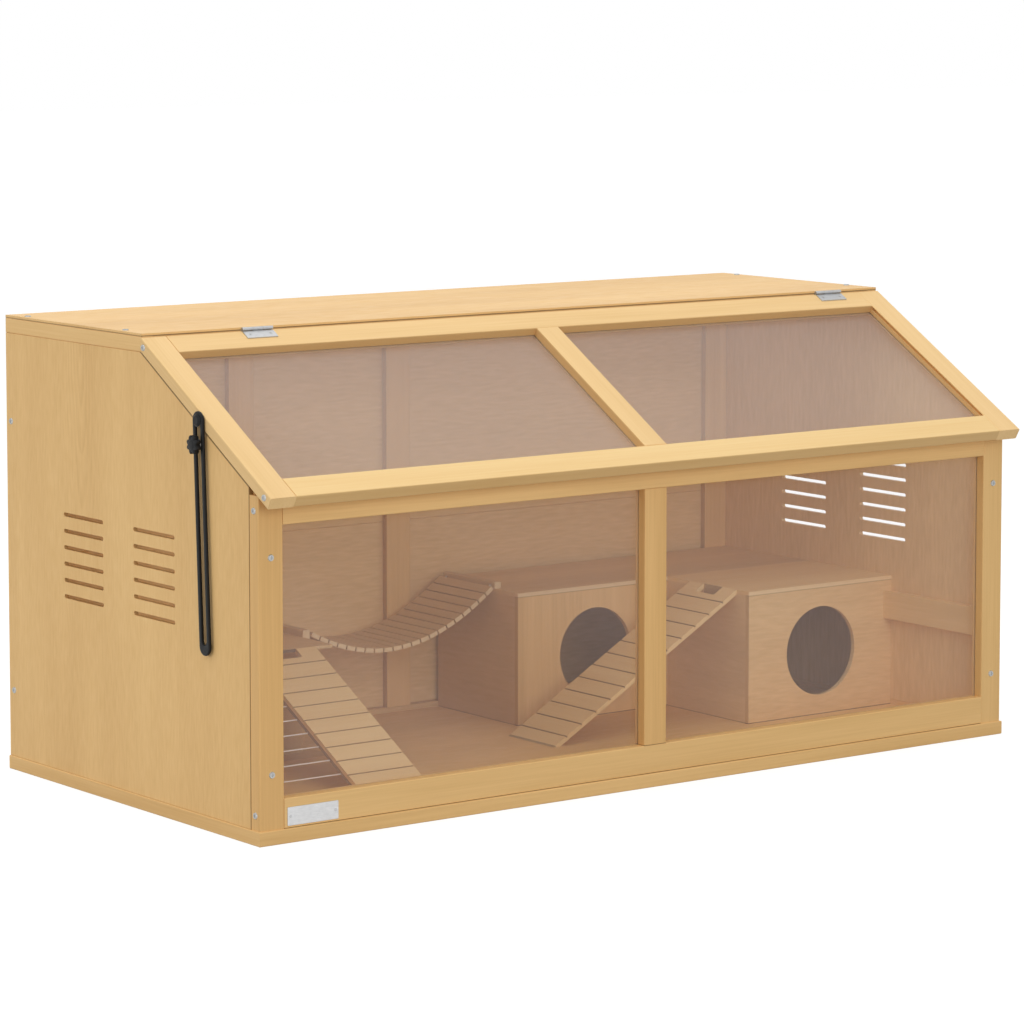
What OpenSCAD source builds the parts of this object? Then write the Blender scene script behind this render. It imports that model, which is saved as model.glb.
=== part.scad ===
// Wooden hamster cage: a glazed front and a sloping glazed lid on butt hinges, held up by a
// slotted stay, over a floor with two huts, a platform, two grooved ramps and a hanging bridge.
// Frame: +X to the right, +Y to the back, +Z up, origin at the middle of the underside.

/* [Cabinet] */
// Width over the base boards
cabinet_w = 1150; // [1050:10:1250]
// Depth over the base boards
cabinet_d = 570; // [555:5:620]
// Height of the base boards
base_h = 17; // [13:1:22]
// How far the base stands out past the walls, in front and at the sides
base_lip = 2; // [1:0.5:4]
// Thickness of the floor board
floor_t = 10; // [6:1:12]
// Thickness of the side and back panels
panel_t = 6; // [5:0.5:8]
// Height of the side panels' top edge
wall_top = 545; // [530:5:580]
// Depth of the flat roof, from the back wall to the lid
roof_d = 320; // [305:5:330]
// Thickness of the roof board
roof_t = 3.5; // [3:0.5:8]
// Height of the rails under the roof
roof_rail_h = 18.5; // [14:0.5:22]
// Width of the rails under the roof
roof_rail_w = 17; // [14:1:24]
// Width of the upright battens on the back wall
batten_w = 38; // [30:1:44]
// Thickness of the upright battens on the back wall
batten_t = 10; // [8:1:14]
// Place of the middle batten along the back wall
mid_batten_x = 6; // [-20:1:20]
// Distance of the side batten's middle from the platform's right end
batten_shift = 8; // [0:1:30]
// Height of the seam between the two boards of the back
back_seam_z = 264; // [220:1:300]
// Rounding along the edges of the frame members
edge_r = 1.5; // [0.5:0.25:2]

/* [Vents] */
// Length of one vent slot
vent_len = 92; // [70:1:110]
// Height of one vent slot
vent_h = 5; // [4:0.5:7]
// Step between slots in a column
vent_pitch = 20; // [15:1:24]
// Slots in a column
vent_rows = 6; // [3:1:7]
// Distance between the two columns of slots
vent_column_gap = 69; // [50:1:80]
// Height of the middle of the vents
vent_z = 284; // [250:1:310]
// Middle of the vents, from front to back
vent_y = 22; // [0:1:40]

/* [Front frame] */
// Thickness of the front frame
front_t = 19; // [16:1:24]
// Width of the corner stiles
stile_w = 33; // [28:1:40]
// Height of the top and bottom rails
front_rail_h = 35; // [28:1:42]
// Width of the middle stile
mid_stile_w = 34; // [26:1:42]
// Thickness of the panes in the front and in the lid
pane_t = 2; // [2:0.25:4]
// Set-back of the front panes from the face of the frame
pane_setback = 12.5; // [8:0.5:13]
// How far a pane enters its grooves
pane_lap = 4; // [3:0.5:6]
// Play of a pane in its grooves, on each side
pane_play = 0.15; // [0.1:0.05:0.3]

/* [Lid] */
// Slope of the lid
lid_slope = 30.25; // [28:0.25:32]
// How far the lid stands out past the front frame
lid_overhang = 29.3; // [24:0.1:40]
// Thickness of the lid frame
lid_t = 15; // [13:1:18]
// Width of the lid's stiles and rails
lid_member_w = 35; // [28:1:42]
// Depth of the panes below the face of the lid
lid_pane_drop = 10.5; // [7:0.5:12]
// Width of the shadow groove in the lid stiles
bead_w = 4.5; // [3:0.5:5]
// Depth of the shadow groove in the lid stiles
bead_depth = 6; // [3:0.5:9]
// Lip of wood left above the shadow groove
bead_lip = 1.2; // [0.8:0.1:2]
// Seam between the lid and the roof
seam = 2; // [1.8:0.1:3]
// Gap between the lid and the side panels
lid_gap = 2; // [0.5:0.1:2.5]
// Gap at which the closed lid rests over the front frame
lid_rest_gap = 0.3; // [0.2:0.05:0.6]

/* [Hinges] */
// Width of a hinge
hinge_w = 43; // [36:1:52]
// Distance of the left hinge's middle from the left side of the lid
hinge_left_in = 161.5; // [80:0.5:200]
// Distance of the right hinge's middle from the right side of the lid
hinge_right_in = 89; // [80:0.5:200]
// Thickness of the hinge leaves
leaf_t = 1.2; // [0.8:0.1:1.5]
// Length of the leaf on the lid
leaf_len = 13.5; // [8:0.5:15]
// Height of the leaf on the roof rail
leaf_drop = 13; // [9:1:15]
// Radius of the hinge knuckles
knuckle_r = 2.2; // [1.9:0.1:3]
// Radius of the hinge pins
pin_r = 1; // [0.8:0.1:1.2]
// Radius of the hinge screws' heads
hinge_head_r = 2.2; // [1.8:0.1:2.5]
// Radius of the hinge screws' shanks
hinge_screw_r = 1.1; // [0.8:0.1:1.2]
// Length of the hinge screws
hinge_screw_len = 6; // [4:0.5:6.5]

/* [Lid stay] */
// Distance of the stay's pivot down the slope of the lid
stay_along = 156.3; // [148:0.1:164]
// Depth of the pivot below the face of the lid
stay_drop = 8.8; // [7.5:0.1:10]
// Lean of the stay from upright
stay_tilt = 2.54; // [0:0.01:5]
// Length of the slot, between the middles of its round ends
stay_slot_len = 254.4; // [248:0.1:265]
// Width of the slot
stay_slot_w = 10; // [9:0.5:12]
// Width of the bars beside the slot
stay_bar_w = 5.5; // [4:0.5:8]
// Solid length below the slot, at the stay's lower end
stay_web = 12.5; // [6:0.5:16]
// Thickness of the stay
stay_t = 4; // [3:0.5:5]
// Distance of the clamping bolt below the pivot, with the lid shut
stay_bolt_at = 27.6; // [24:0.1:34]
// Radius of the clamping bolt
stay_bolt_r = 3; // [2.5:0.25:3.5]
// Radius of the star knob to the tips of its lobes
knob_r = 11.5; // [10.5:0.5:14]
// Height of the star knob
knob_h = 8; // [7:0.5:12]
// Lobes of the star knob
knob_lobes = 8; // [6:1:9]

/* [Huts] */
// Height of both huts above the underside
hut_top = 184; // [172:1:192]
// Width of the front hut, against the right wall
hut_w = 248; // [225:1:270]
// Depth of the front hut, ahead of the rear hut
hut_d = 169; // [150:1:180]
// Width of the rear hut and the space behind the front hut
rear_hut_w = 497; // [480:1:515]
// Depth of the rear hut
rear_hut_d = 178; // [162:1:186]
// Thickness of the hut walls
hut_wall_t = 6.5; // [5:0.5:10]
// Thickness of the hut roofs
hut_roof_t = 5; // [4:0.5:8]
// Diameter of the round doors
door_d = 118; // [95:1:120]
// Height of the middle of the doors
door_z = 95; // [90:1:97]
// Height of the rail on the right wall
wall_rail_h = 37; // [25:1:45]
// Height of the lower edge of that rail
wall_rail_z = 127; // [110:1:140]
// Thickness of that rail
wall_rail_t = 14; // [10:1:20]

/* [Platform] */
// Height of the platform
platform_top = 150; // [140:1:160]
// Width of the platform from the left wall
platform_w = 336; // [320:1:345]
// Depth of the platform from the back battens
platform_d = 194; // [184:1:202]
// Thickness of the platform board
platform_t = 4; // [3.5:0.5:9]
// Width of the square platform legs
leg_w = 30; // [18:1:34]
// Inset of the legs from the ends of the board
leg_inset_x = 20; // [8:1:24]
// Inset of the legs from the front and back of the board
leg_inset_y = 37; // [20:1:45]

/* [Ramps] */
// Width of the ramps
ramp_w = 96; // [84:1:104]
// Slope of the left ramp
left_ramp_slope = 28.8; // [27:0.1:32]
// Slope of the right ramp
right_ramp_slope = 30.1; // [28.5:0.1:33]
// Distance of the left ramp from the platform's right end
left_ramp_inset = 26; // [15:1:40]
// Distance of the right ramp from the front hut's face
right_ramp_inset = 25; // [10:1:40]
// Thickness of the ramp boards
ramp_t = 5.5; // [4:0.5:8]
// Length of the plain part at the top of a ramp
ramp_plain = 27; // [24:1:40]
// Step between the grooves across a ramp
groove_pitch = 26.8; // [22:0.1:32]
// Width of the grooves across a ramp
ramp_groove_w = 2.2; // [1.5:0.1:4]
// Depth of the grooves across a ramp
ramp_groove_depth = 2; // [0.5:0.1:2.5]
// Width of the notch in a ramp's top edge
ramp_notch_w = 38; // [30:1:54]
// Depth of that notch
ramp_notch_d = 17; // [10:0.5:19]
// Rounding of that notch's corners
ramp_notch_r = 3; // [1:0.5:6]
// Height of the stringers under the left ramp
stringer_h = 4.5; // [3.5:0.5:8]
// Width of the stringers under the left ramp
stringer_w = 10; // [8:1:16]
// Diameter of the rungs between the left ramp and the left wall
rung_d = 1.6; // [1.4:0.1:3]

/* [Bridge] */
// Slats of the bridge
bridge_slats_n = 21; // [18:1:22]
// Sag of the bridge below the line between its ends
bridge_sag = 49; // [34:1:56]
// Length of the bridge slats, from front to back
bridge_slat_len = 116; // [96:1:120]
// Width of one bridge slat
bridge_slat_w = 12.5; // [10:0.5:13]
// Thickness of one bridge slat
bridge_slat_t = 5.5; // [4.5:0.5:7]
// Distance of the bridge from the back battens
bridge_back_gap = 11; // [6:1:17]
// Width of the end blocks of the bridge
block_w = 10.5; // [8:0.5:16]
// Height of the end blocks above the platform and the hut's roof
block_h = 8.5; // [6:0.5:12]
// Diameter of the bridge cords
cord_d = 2.4; // [1.8:0.1:3]
// Distance of the cords from the ends of the slats
cord_inset = 9; // [7:1:16]

/* [Screws] */
// Radius of the screw heads
screw_head_r = 4; // [3:0.25:5]
// Height of the screw heads
screw_head_h = 1.2; // [0.8:0.1:1.3]
// Radius of the screw shanks
screw_r = 1.75; // [1.25:0.25:2]
// Length of the screw shanks
screw_len = 16; // [14:1:16]
// Width of the cross recess in the screw heads
recess_w = 0.9; // [0.6:0.1:1.2]
// Depth of the cross recess in the screw heads
recess_depth = 0.6; // [0.3:0.1:0.7]
// Height of the lower screws in the back posts
screw_low_z = 100; // [80:1:120]
// Height of the upper screws in the back posts
screw_high_z = 436; // [400:1:460]
// Height of the lower screws in the face of the front stiles
face_screw_low_z = 81; // [70:1:100]
// Height of the upper screws in the face of the front stiles
face_screw_high_z = 330; // [300:1:345]
// Distance of the roof screws from the back edge of the roof
roof_screw_back = 40; // [25:1:60]
// Distance of the roof screws from the front edge of the roof
roof_screw_front = 50; // [25:1:80]
// Distance of the lid screws from the ends of the lid
lid_screw_end = 12; // [9:1:16]

/* [Hidden] */
$fn = 48;

// Colours of the finishes
wood_color = "#dcb06e";
panel_color = "#d8ae72";
inside_color = "#c99f69";
pane_color = [0.55, 0.45, 0.38, 0.45];
steel_color = "#b9bcbf";
black_color = "#26272a";
rung_color = "#e8e6e2";

// Play and reach of the cuts
cut_over = 1;
running_play = 0.05;
arm_play = 0.5;
plate_play = 0.3;
far = 3 * cabinet_w;

// Places of the cabinet's faces
half_w = cabinet_w / 2;
wall_x = half_w - base_lip;
inner_x = wall_x - panel_t;
front_y = base_lip - cabinet_d / 2;
frame_back_y = front_y + front_t;
back_y = cabinet_d / 2;
back_in_y = back_y - panel_t;
batten_y = back_in_y - batten_t;
roof_under = wall_top + roof_rail_h;
roof_front_y = back_y - roof_d;

// The lid's underside over a given depth, and the parts that follow it
function lid_under_z(y) =
    roof_under - (roof_front_y - y) * tan(lid_slope) - lid_t / cos(lid_slope);
front_top_z = lid_under_z(front_y) - lid_rest_gap;
front_open_low = base_h + front_rail_h;
front_open_high = front_top_z - front_rail_h;
stile_in_x = wall_x - stile_w;
pane_y = front_y + pane_setback;
groove_w = pane_t + 2 * pane_play;
groove_depth = pane_lap + pane_play;
lid_in_x = half_w - lid_member_w;
lid_len = (roof_front_y - front_y + lid_overhang) / cos(lid_slope);

// A point of the lid's own plane, as depth and height: down the slope and below the face
function lid_point(along, below) = [
    roof_front_y - along * cos(lid_slope) + below * sin(lid_slope),
    roof_under - along * sin(lid_slope) - below * cos(lid_slope)
];

// The hinge axis lies over the seam, clear of the lid's face
axis_y = roof_front_y - knuckle_r - plate_play;
axis_rise = knuckle_r + plate_play;
axis_z = roof_under - (roof_front_y - axis_y) * tan(lid_slope) + axis_rise / cos(lid_slope);
axis_along = (axis_y - roof_front_y) * cos(lid_slope) + (axis_z - roof_under) * sin(lid_slope);
hinge_places = [hinge_left_in - half_w, half_w - hinge_right_in];
knuckle_third = hinge_w / 3;
knuckle_gap = 0.2;
plate_top = axis_along - knuckle_r - 2 * plate_play;
hinge_screw_step = hinge_w / 3;

// The stay stands off the lid's left side
stay_pivot = lid_point(stay_along, stay_drop);
arm_x = -half_w - arm_play;
stay_shoulder_r = stay_slot_w / 2 - running_play;
stay_head_r = stay_slot_w / 2 + stay_bar_w / 2;
stay_head_h = 2.2;
washer_r = 0.65 * knob_r;
washer_t = 1.2;
washer_x = arm_x - stay_t - plate_play - washer_t;
knob_x = washer_x - plate_play;
knob_bore_depth = knob_h - 3;
lobe_r = 0.26 * knob_r;

// Places of the fittings inside
hut_x = inner_x - hut_w;
rear_hut_x = inner_x - rear_hut_w;
rear_hut_y = batten_y - rear_hut_d;
hut_y = rear_hut_y - hut_d;
hut_ceiling = hut_top - hut_roof_t;
hut_door_x = hut_x + hut_w / 2;
rear_door_x = (rear_hut_x + hut_x + hut_wall_t) / 2;
platform_x = platform_w - inner_x;
platform_y = batten_y - platform_d;
left_ramp_x = platform_x - left_ramp_inset - ramp_w;
right_ramp_y = hut_y + right_ramp_inset;
bridge_y = batten_y - bridge_back_gap - bridge_slat_len;

// The bridge hangs in a parabola between its two end blocks
bridge_a = [platform_x + block_w, platform_top + block_h / 2];
bridge_b = [rear_hut_x, hut_top + block_h / 2];
bridge_run = bridge_b[0] - bridge_a[0];
bridge_rise = bridge_b[1] - bridge_a[1];
function bridge_z(x) = let (u = (x - bridge_a[0]) / bridge_run)
    bridge_a[1] + bridge_rise * u - 4 * bridge_sag * u * (1 - u);
function bridge_lean(x) = let (u = (x - bridge_a[0]) / bridge_run)
    atan((bridge_rise - 4 * bridge_sag * (1 - 2 * u)) / bridge_run);
arc_steps = 60;
arc_step = bridge_run / arc_steps;
bridge_arc = [for (i = 0, a = 0; i < arc_steps; i = i + 1,
    a = a + arc_step / cos(bridge_lean(bridge_a[0] + (i - 0.5) * arc_step))) a];
bridge_len = bridge_arc[arc_steps - 1]
    + arc_step / cos(bridge_lean(bridge_b[0] - arc_step / 2));
bridge_end_gap = (bridge_slat_w + block_h) / 2;
bridge_pitch = (bridge_len - 2 * bridge_end_gap) / (bridge_slats_n - 1);
bridge_arc_x = [for (i = [0 : arc_steps - 1]) bridge_a[0] + i * arc_step];
function bridge_station(i) = lookup(bridge_end_gap + i * bridge_pitch,
    [for (k = [0 : arc_steps - 1]) [bridge_arc[k], bridge_arc_x[k]]]);
cord_ys = [bridge_y + cord_inset, bridge_y + bridge_slat_len - cord_inset];
cord_hole_r = cord_d / 2 + 0.4;
cord_rings = 36;
cord_sides = 8;

// Places of the screws, as depth and height on the sides
side_screws = [
    [batten_y + batten_t / 2, screw_low_z],
    [batten_y + batten_t / 2, screw_high_z],
    [front_y + front_t / 2, base_h + front_rail_h / 2],
    [front_y + front_t / 2, front_top_z - front_rail_h / 2]
];
face_screw_x = wall_x - stile_w / 2;
roof_screw_x = wall_x - roof_rail_w / 2;
roof_screw_ys = [back_y - roof_screw_back, roof_front_y + roof_screw_front];
lid_screw_alongs = [lid_screw_end, lid_len - lid_screw_end];

// A rectangle with round corners, from its lower left corner
module rounded_rect(w, h, r) {
    translate([r, 0]) square([w - 2 * r, h]);
    translate([0, r]) square([w, h - 2 * r]);
    for (x = [r, w - r], y = [r, h - r]) translate([x, y]) circle(r);
}

// Bars with round edges along X, Y and Z, from their lowest corner
module bar_x(size) {
    rotate([90, 0, 90]) linear_extrude(size[0]) rounded_rect(size[1], size[2], edge_r);
}
module bar_y(size) {
    translate([0, size[1], 0]) rotate([90, 0, 0])
        linear_extrude(size[1]) rounded_rect(size[0], size[2], edge_r);
}
module bar_z(size) {
    linear_extrude(size[2]) rounded_rect(size[0], size[1], edge_r);
}

// A slot with round ends along X, centred, cut through a plate that lies on z = 0
module slot_cut(len, w, t) {
    translate([0, 0, -cut_over]) linear_extrude(t + 2 * cut_over) {
        square([len - w, w], center = true);
        for (x = [-1, 1] * (len - w) / 2) translate([x, 0]) circle(w / 2);
    }
}

// A cross recess that goes down from z = 0
module cross_recess(len, w, depth) {
    for (turn = [0, 90]) rotate(turn)
        translate([-len / 2, -w / 2, -depth]) cube([len, w, depth + cut_over]);
}
// A screw with its head on z = 0 and its shank down, and the hole that takes it
module screw() {
    difference() {
        cylinder(r1 = screw_head_r, r2 = screw_head_r - screw_head_h / 2, h = screw_head_h);
        translate([0, 0, screw_head_h]) cross_recess(screw_head_r, recess_w, recess_depth);
    }
    translate([0, 0, -screw_len]) cylinder(r = screw_r, h = screw_len + screw_head_h / 3);
}
module screw_hole() {
    translate([0, 0, -screw_len - cut_over])
        cylinder(r = screw_r + running_play, h = screw_len + 2 * cut_over);
}

// Places of the screws in each wall, head outwards
module at_side_screws(side) {
    for (p = side_screws) translate([side * wall_x, p[0], p[1]]) rotate([0, side * 90, 0]) children();
}
module at_face_screws() {
    for (x = [-1, 1] * face_screw_x, z = [face_screw_low_z, face_screw_high_z])
        translate([x, front_y, z]) rotate([90, 0, 0]) children();
}
module at_roof_screws() {
    for (x = [-1, 1] * roof_screw_x, y = roof_screw_ys)
        translate([x, y, roof_under + roof_t]) children();
}
module at_lid_screws(side) {
    for (along = lid_screw_alongs) {
        p = lid_point(along, lid_t / 2);
        translate([side * half_w, p[0], p[1]]) rotate([0, side * 90, 0]) children();
    }
}

// One base board, cut to its mitres in plan
module base_board(plan) {
    color(wood_color) intersection() {
        children();
        translate([0, 0, -cut_over]) linear_extrude(base_h + 2 * cut_over) polygon(plan);
    }
}
base_out = [half_w, cabinet_d / 2];
base_in = [inner_x, -frame_back_y, batten_y];
module base_front_board() {
    base_board([[-base_out[0], -base_out[1]], [base_out[0], -base_out[1]],
                [base_in[0], -base_in[1]], [-base_in[0], -base_in[1]]])
        translate([-base_out[0], -base_out[1], 0])
            bar_x([cabinet_w, base_out[1] - base_in[1], base_h]);
}
module base_back_board() {
    base_board([[-base_out[0], base_out[1]], [-base_in[0], base_in[2]],
                [base_in[0], base_in[2]], [base_out[0], base_out[1]]])
        translate([-base_out[0], base_in[2], 0])
            bar_x([cabinet_w, base_out[1] - base_in[2], base_h]);
}
module base_side_board(side) {
    base_board([[side * base_out[0], -base_out[1]], [side * base_out[0], base_out[1]],
                [side * base_in[0], base_in[2]], [side * base_in[0], -base_in[1]]])
        translate([min(side * base_out[0], side * base_in[0]), -base_out[1], 0])
            bar_y([base_out[0] - base_in[0], cabinet_d, base_h]);
}
module base_left_board() { base_side_board(-1); }
module base_right_board() { base_side_board(1); }
module floor_board() {
    color(inside_color) translate([-inner_x, frame_back_y, 0])
        cube([2 * inner_x, batten_y - frame_back_y, floor_t]);
}

// A side panel: sloping under the lid, with two columns of vent slots
module side_panel(side) {
    outline = [
        [back_y, base_h],
        [back_y, wall_top],
        [roof_front_y, wall_top],
        [roof_front_y, lid_under_z(roof_front_y) - lid_gap],
        [frame_back_y, lid_under_z(frame_back_y) - lid_gap],
        [frame_back_y, base_h]
    ];
    column = (vent_len + vent_column_gap) / 2;
    low_x = side > 0 ? inner_x : -wall_x;
    color(panel_color) difference() {
        translate([low_x, 0, 0]) rotate([90, 0, 90]) linear_extrude(panel_t) polygon(outline);
        for (y = [vent_y - column, vent_y + column], row = [0 : vent_rows - 1])
            translate([low_x, y, vent_z + (row - (vent_rows - 1) / 2) * vent_pitch])
                rotate([90, 0, 90]) slot_cut(vent_len, vent_h, panel_t);
        at_side_screws(side) screw_hole();
    }
}
module left_side_panel() { side_panel(-1); }
module right_side_panel() { side_panel(1); }
// The back: two boards that meet in a seam, with eased edges
module back_board(low_z, high_z) {
    color(panel_color) translate([-inner_x, back_in_y, low_z])
        bar_x([2 * inner_x, panel_t, high_z - low_z]);
}
module back_lower_panel() { back_board(base_h, back_seam_z); }
module back_upper_panel() { back_board(back_seam_z, wall_top); }

// The uprights on the back wall: a post in each corner and two battens
module upright(x) {
    color(wood_color) difference() {
        translate([x - batten_w / 2, batten_y, base_h])
            bar_z([batten_w, batten_t, wall_top - base_h]);
        for (side = [-1, 1]) at_side_screws(side) screw_hole();
    }
}
module back_left_post() { upright(batten_w / 2 - inner_x); }
module back_right_post() { upright(inner_x - batten_w / 2); }
module back_middle_batten() { upright(mid_batten_x); }
module back_side_batten() { upright(platform_x - batten_shift); }

// The frame of rails under the roof board
module roof_side_rail(side) {
    color(wood_color) difference() {
        translate([side > 0 ? wall_x - roof_rail_w : -wall_x, roof_front_y, wall_top])
            bar_y([roof_rail_w, roof_d, roof_rail_h]);
        at_roof_screws() screw_hole();
    }
}
module roof_left_rail() { roof_side_rail(-1); }
module roof_right_rail() { roof_side_rail(1); }
module roof_cross_rail(y) {
    color(wood_color) difference() {
        translate([roof_rail_w - wall_x, y, wall_top])
            bar_x([2 * (wall_x - roof_rail_w), roof_rail_w, roof_rail_h]);
        at_hinge_roof_screws() hinge_screw_hole();
    }
}
module roof_front_rail() { roof_cross_rail(roof_front_y); }
module roof_back_rail() { roof_cross_rail(back_y - roof_rail_w); }
module roof_board() {
    color(panel_color) difference() {
        translate([-wall_x, roof_front_y, roof_under]) cube([2 * wall_x, roof_d, roof_t]);
        at_roof_screws() screw_hole();
    }
}

// The groove for the front panes, as one cut round both openings
module front_grooves() {
    translate([-stile_in_x - groove_depth, pane_y - pane_play, front_open_low - groove_depth])
        cube([2 * (stile_in_x + groove_depth), groove_w,
              front_open_high - front_open_low + 2 * groove_depth]);
}
module front_stile(side) {
    color(wood_color) difference() {
        translate([side > 0 ? stile_in_x : -wall_x, front_y, base_h])
            bar_z([stile_w, front_t, front_top_z - base_h]);
        front_grooves();
        at_side_screws(side) screw_hole();
        at_face_screws() screw_hole();
    }
}
module front_left_stile() { front_stile(-1); }
module front_right_stile() { front_stile(1); }
module front_middle_stile() {
    pane_edge = mid_stile_w / 2 - groove_depth;
    color(wood_color) difference() {
        translate([-mid_stile_w / 2, front_y, front_open_low])
            bar_z([mid_stile_w, front_t, front_open_high - front_open_low]);
        for (side = [0, 1]) mirror([side, 0, 0])
            translate([pane_edge, pane_y - pane_play, front_open_low - cut_over])
                cube([groove_depth + cut_over, groove_w, front_open_high - front_open_low + 2 * cut_over]);
    }
}
module front_rail(z) {
    color(wood_color) difference() {
        translate([-stile_in_x, front_y, z]) bar_x([2 * stile_in_x, front_t, front_rail_h]);
        front_grooves();
    }
}
module front_bottom_rail() { front_rail(base_h); }
module front_top_rail() { front_rail(front_open_high); }
module front_pane(side) {
    low_x = mid_stile_w / 2 - pane_lap;
    high_x = stile_in_x + pane_lap;
    color(pane_color) translate([side > 0 ? low_x : -high_x, pane_y, front_open_low - pane_lap])
        cube([high_x - low_x, pane_t, front_open_high - front_open_low + 2 * pane_lap]);
}
module front_left_pane() { front_pane(-1); }
module front_right_pane() { front_pane(1); }

// The lid's own frame: Y runs up the slope to the seam and Z stands on its face
module on_lid() {
    translate([0, roof_front_y, roof_under]) rotate([lid_slope, 0, 0]) children();
}
lid_open_low = lid_member_w - lid_len;
lid_open_high = -lid_member_w;
lid_open_len = lid_open_high - lid_open_low;
module lid_grooves() {
    on_lid() translate([-lid_in_x - groove_depth, lid_open_low - groove_depth,
                        -lid_pane_drop - pane_t - pane_play])
        cube([2 * (lid_in_x + groove_depth), lid_open_len + 2 * groove_depth, groove_w]);
}
// The upper end of the lid is cut upright at the seam
module seam_cut() {
    translate([-far / 2, roof_front_y - seam, 0]) cube([far, far, far]);
}
module lid_stile(side) {
    low_x = side > 0 ? lid_in_x : -half_w;
    bead_x = side > 0 ? lid_in_x - cut_over : -lid_in_x - bead_depth;
    color(wood_color) difference() {
        on_lid() translate([low_x, -lid_len, -lid_t]) bar_y([lid_member_w, lid_len + lid_t, lid_t]);
        seam_cut();
        lid_grooves();
        on_lid() translate([bead_x, lid_open_low, -bead_lip - bead_w])
            cube([bead_depth + cut_over, lid_open_len, bead_w]);
        at_lid_screws(side) screw_hole();
        if (side < 0) at_stay_pivot() stay_pivot_hole();
    }
}
module lid_left_stile() { lid_stile(-1); }
module lid_right_stile() { lid_stile(1); }
module lid_rail(low_y, len) {
    color(wood_color) difference() {
        on_lid() translate([-lid_in_x, low_y, -lid_t]) bar_x([2 * lid_in_x, len, lid_t]);
        seam_cut();
        lid_grooves();
        at_hinge_lid_screws() hinge_screw_hole();
    }
}
module lid_top_rail() { lid_rail(lid_open_high, lid_member_w + lid_t); }
module lid_bottom_rail() { lid_rail(-lid_len, lid_member_w); }
module lid_middle_bar() {
    pane_edge = mid_stile_w / 2 - groove_depth;
    color(wood_color) difference() {
        on_lid() translate([-mid_stile_w / 2, lid_open_low, -lid_t])
            bar_y([mid_stile_w, lid_open_len, lid_t]);
        for (side = [0, 1]) mirror([side, 0, 0]) on_lid()
            translate([pane_edge, lid_open_low - cut_over, -lid_pane_drop - pane_t - pane_play])
                cube([groove_depth + cut_over, lid_open_len + 2 * cut_over, groove_w]);
    }
}
module lid_pane(side) {
    low_x = mid_stile_w / 2 - pane_lap;
    high_x = lid_in_x + pane_lap;
    color(pane_color) on_lid()
        translate([side > 0 ? low_x : -high_x, lid_open_low - pane_lap, -lid_pane_drop - pane_t])
            cube([high_x - low_x, lid_open_len + 2 * pane_lap, pane_t]);
}
module lid_left_pane() { lid_pane(-1); }
module lid_right_pane() { lid_pane(1); }

// Butt hinges over the seam: the roof leaf has the outer knuckles and the lid leaf the middle one
module knuckle(from, to) {
    translate([from, axis_y, axis_z]) rotate([0, 90, 0]) cylinder(r = knuckle_r, h = to - from);
}
module knuckle_bore(x) {
    translate([x - hinge_w, axis_y, axis_z]) rotate([0, 90, 0])
        cylinder(r = pin_r + running_play, h = 2 * hinge_w);
}
// Places of the hinge screws, flush with the leaves, two to a leaf
module at_hinge_roof_screws() {
    for (x = hinge_places, step = [-1, 1] * hinge_screw_step)
        translate([x + step, roof_front_y - leaf_t, roof_under - (leaf_drop + knuckle_r / 2) / 2])
            rotate([90, 0, 0]) children();
}
module at_hinge_lid_screws() {
    on_lid() for (x = hinge_places, step = [-1, 1] * hinge_screw_step)
        translate([x + step, plate_top - leaf_len / 2, leaf_t]) children();
}
// A countersunk screw with its head flush on z = 0, and the hole that takes it
module hinge_screw() {
    difference() {
        translate([0, 0, -leaf_t]) cylinder(r1 = hinge_screw_r, r2 = hinge_head_r, h = leaf_t);
        cross_recess(hinge_head_r, recess_w / 2, recess_depth / 2);
    }
    translate([0, 0, -hinge_screw_len]) cylinder(r = hinge_screw_r, h = hinge_screw_len - leaf_t / 2);
}
module hinge_screw_hole() {
    flare = cut_over * (hinge_head_r - hinge_screw_r) / leaf_t;
    translate([0, 0, -leaf_t]) cylinder(r1 = hinge_screw_r + running_play,
                                        r2 = hinge_head_r + running_play + flare, h = leaf_t + cut_over);
    translate([0, 0, -hinge_screw_len - cut_over])
        cylinder(r = hinge_screw_r + running_play, h = hinge_screw_len + cut_over - leaf_t / 2);
}
module hinge_roof_leaves() {
    color(steel_color) for (x = hinge_places) difference() {
        union() {
            translate([x - hinge_w / 2, roof_front_y - leaf_t, roof_under - leaf_drop])
                cube([hinge_w, leaf_t, leaf_drop - knuckle_r / 2]);
            for (end = [-1, 1]) {
                low = x + end * knuckle_third - knuckle_third / 2;
                knuckle(low, low + knuckle_third);
                translate([low, roof_front_y - leaf_t, roof_under - leaf_drop])
                    cube([knuckle_third, leaf_t, axis_z - roof_under + leaf_drop]);
            }
        }
        knuckle_bore(x);
        at_hinge_roof_screws() hinge_screw_hole();
    }
}
module hinge_lid_leaves() {
    half = knuckle_third / 2 - knuckle_gap;
    color(steel_color) for (x = hinge_places) difference() {
        union() {
            on_lid() translate([x - hinge_w / 2, plate_top - leaf_len, 0])
                cube([hinge_w, leaf_len, leaf_t]);
            on_lid() translate([x - half, plate_top - leaf_t, 0])
                cube([2 * half, axis_along - plate_top + leaf_t, leaf_t]);
            knuckle(x - half, x + half);
        }
        knuckle_bore(x);
        at_hinge_lid_screws() hinge_screw_hole();
    }
}
module hinge_pins() {
    color(steel_color) for (x = hinge_places)
        translate([x - hinge_w / 2, axis_y, axis_z]) rotate([0, 90, 0]) cylinder(r = pin_r, h = hinge_w);
}
module hinge_roof_screws() {
    color(steel_color) at_hinge_roof_screws() hinge_screw();
}
module hinge_lid_screws() {
    color(steel_color) at_hinge_lid_screws() hinge_screw();
}

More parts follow.
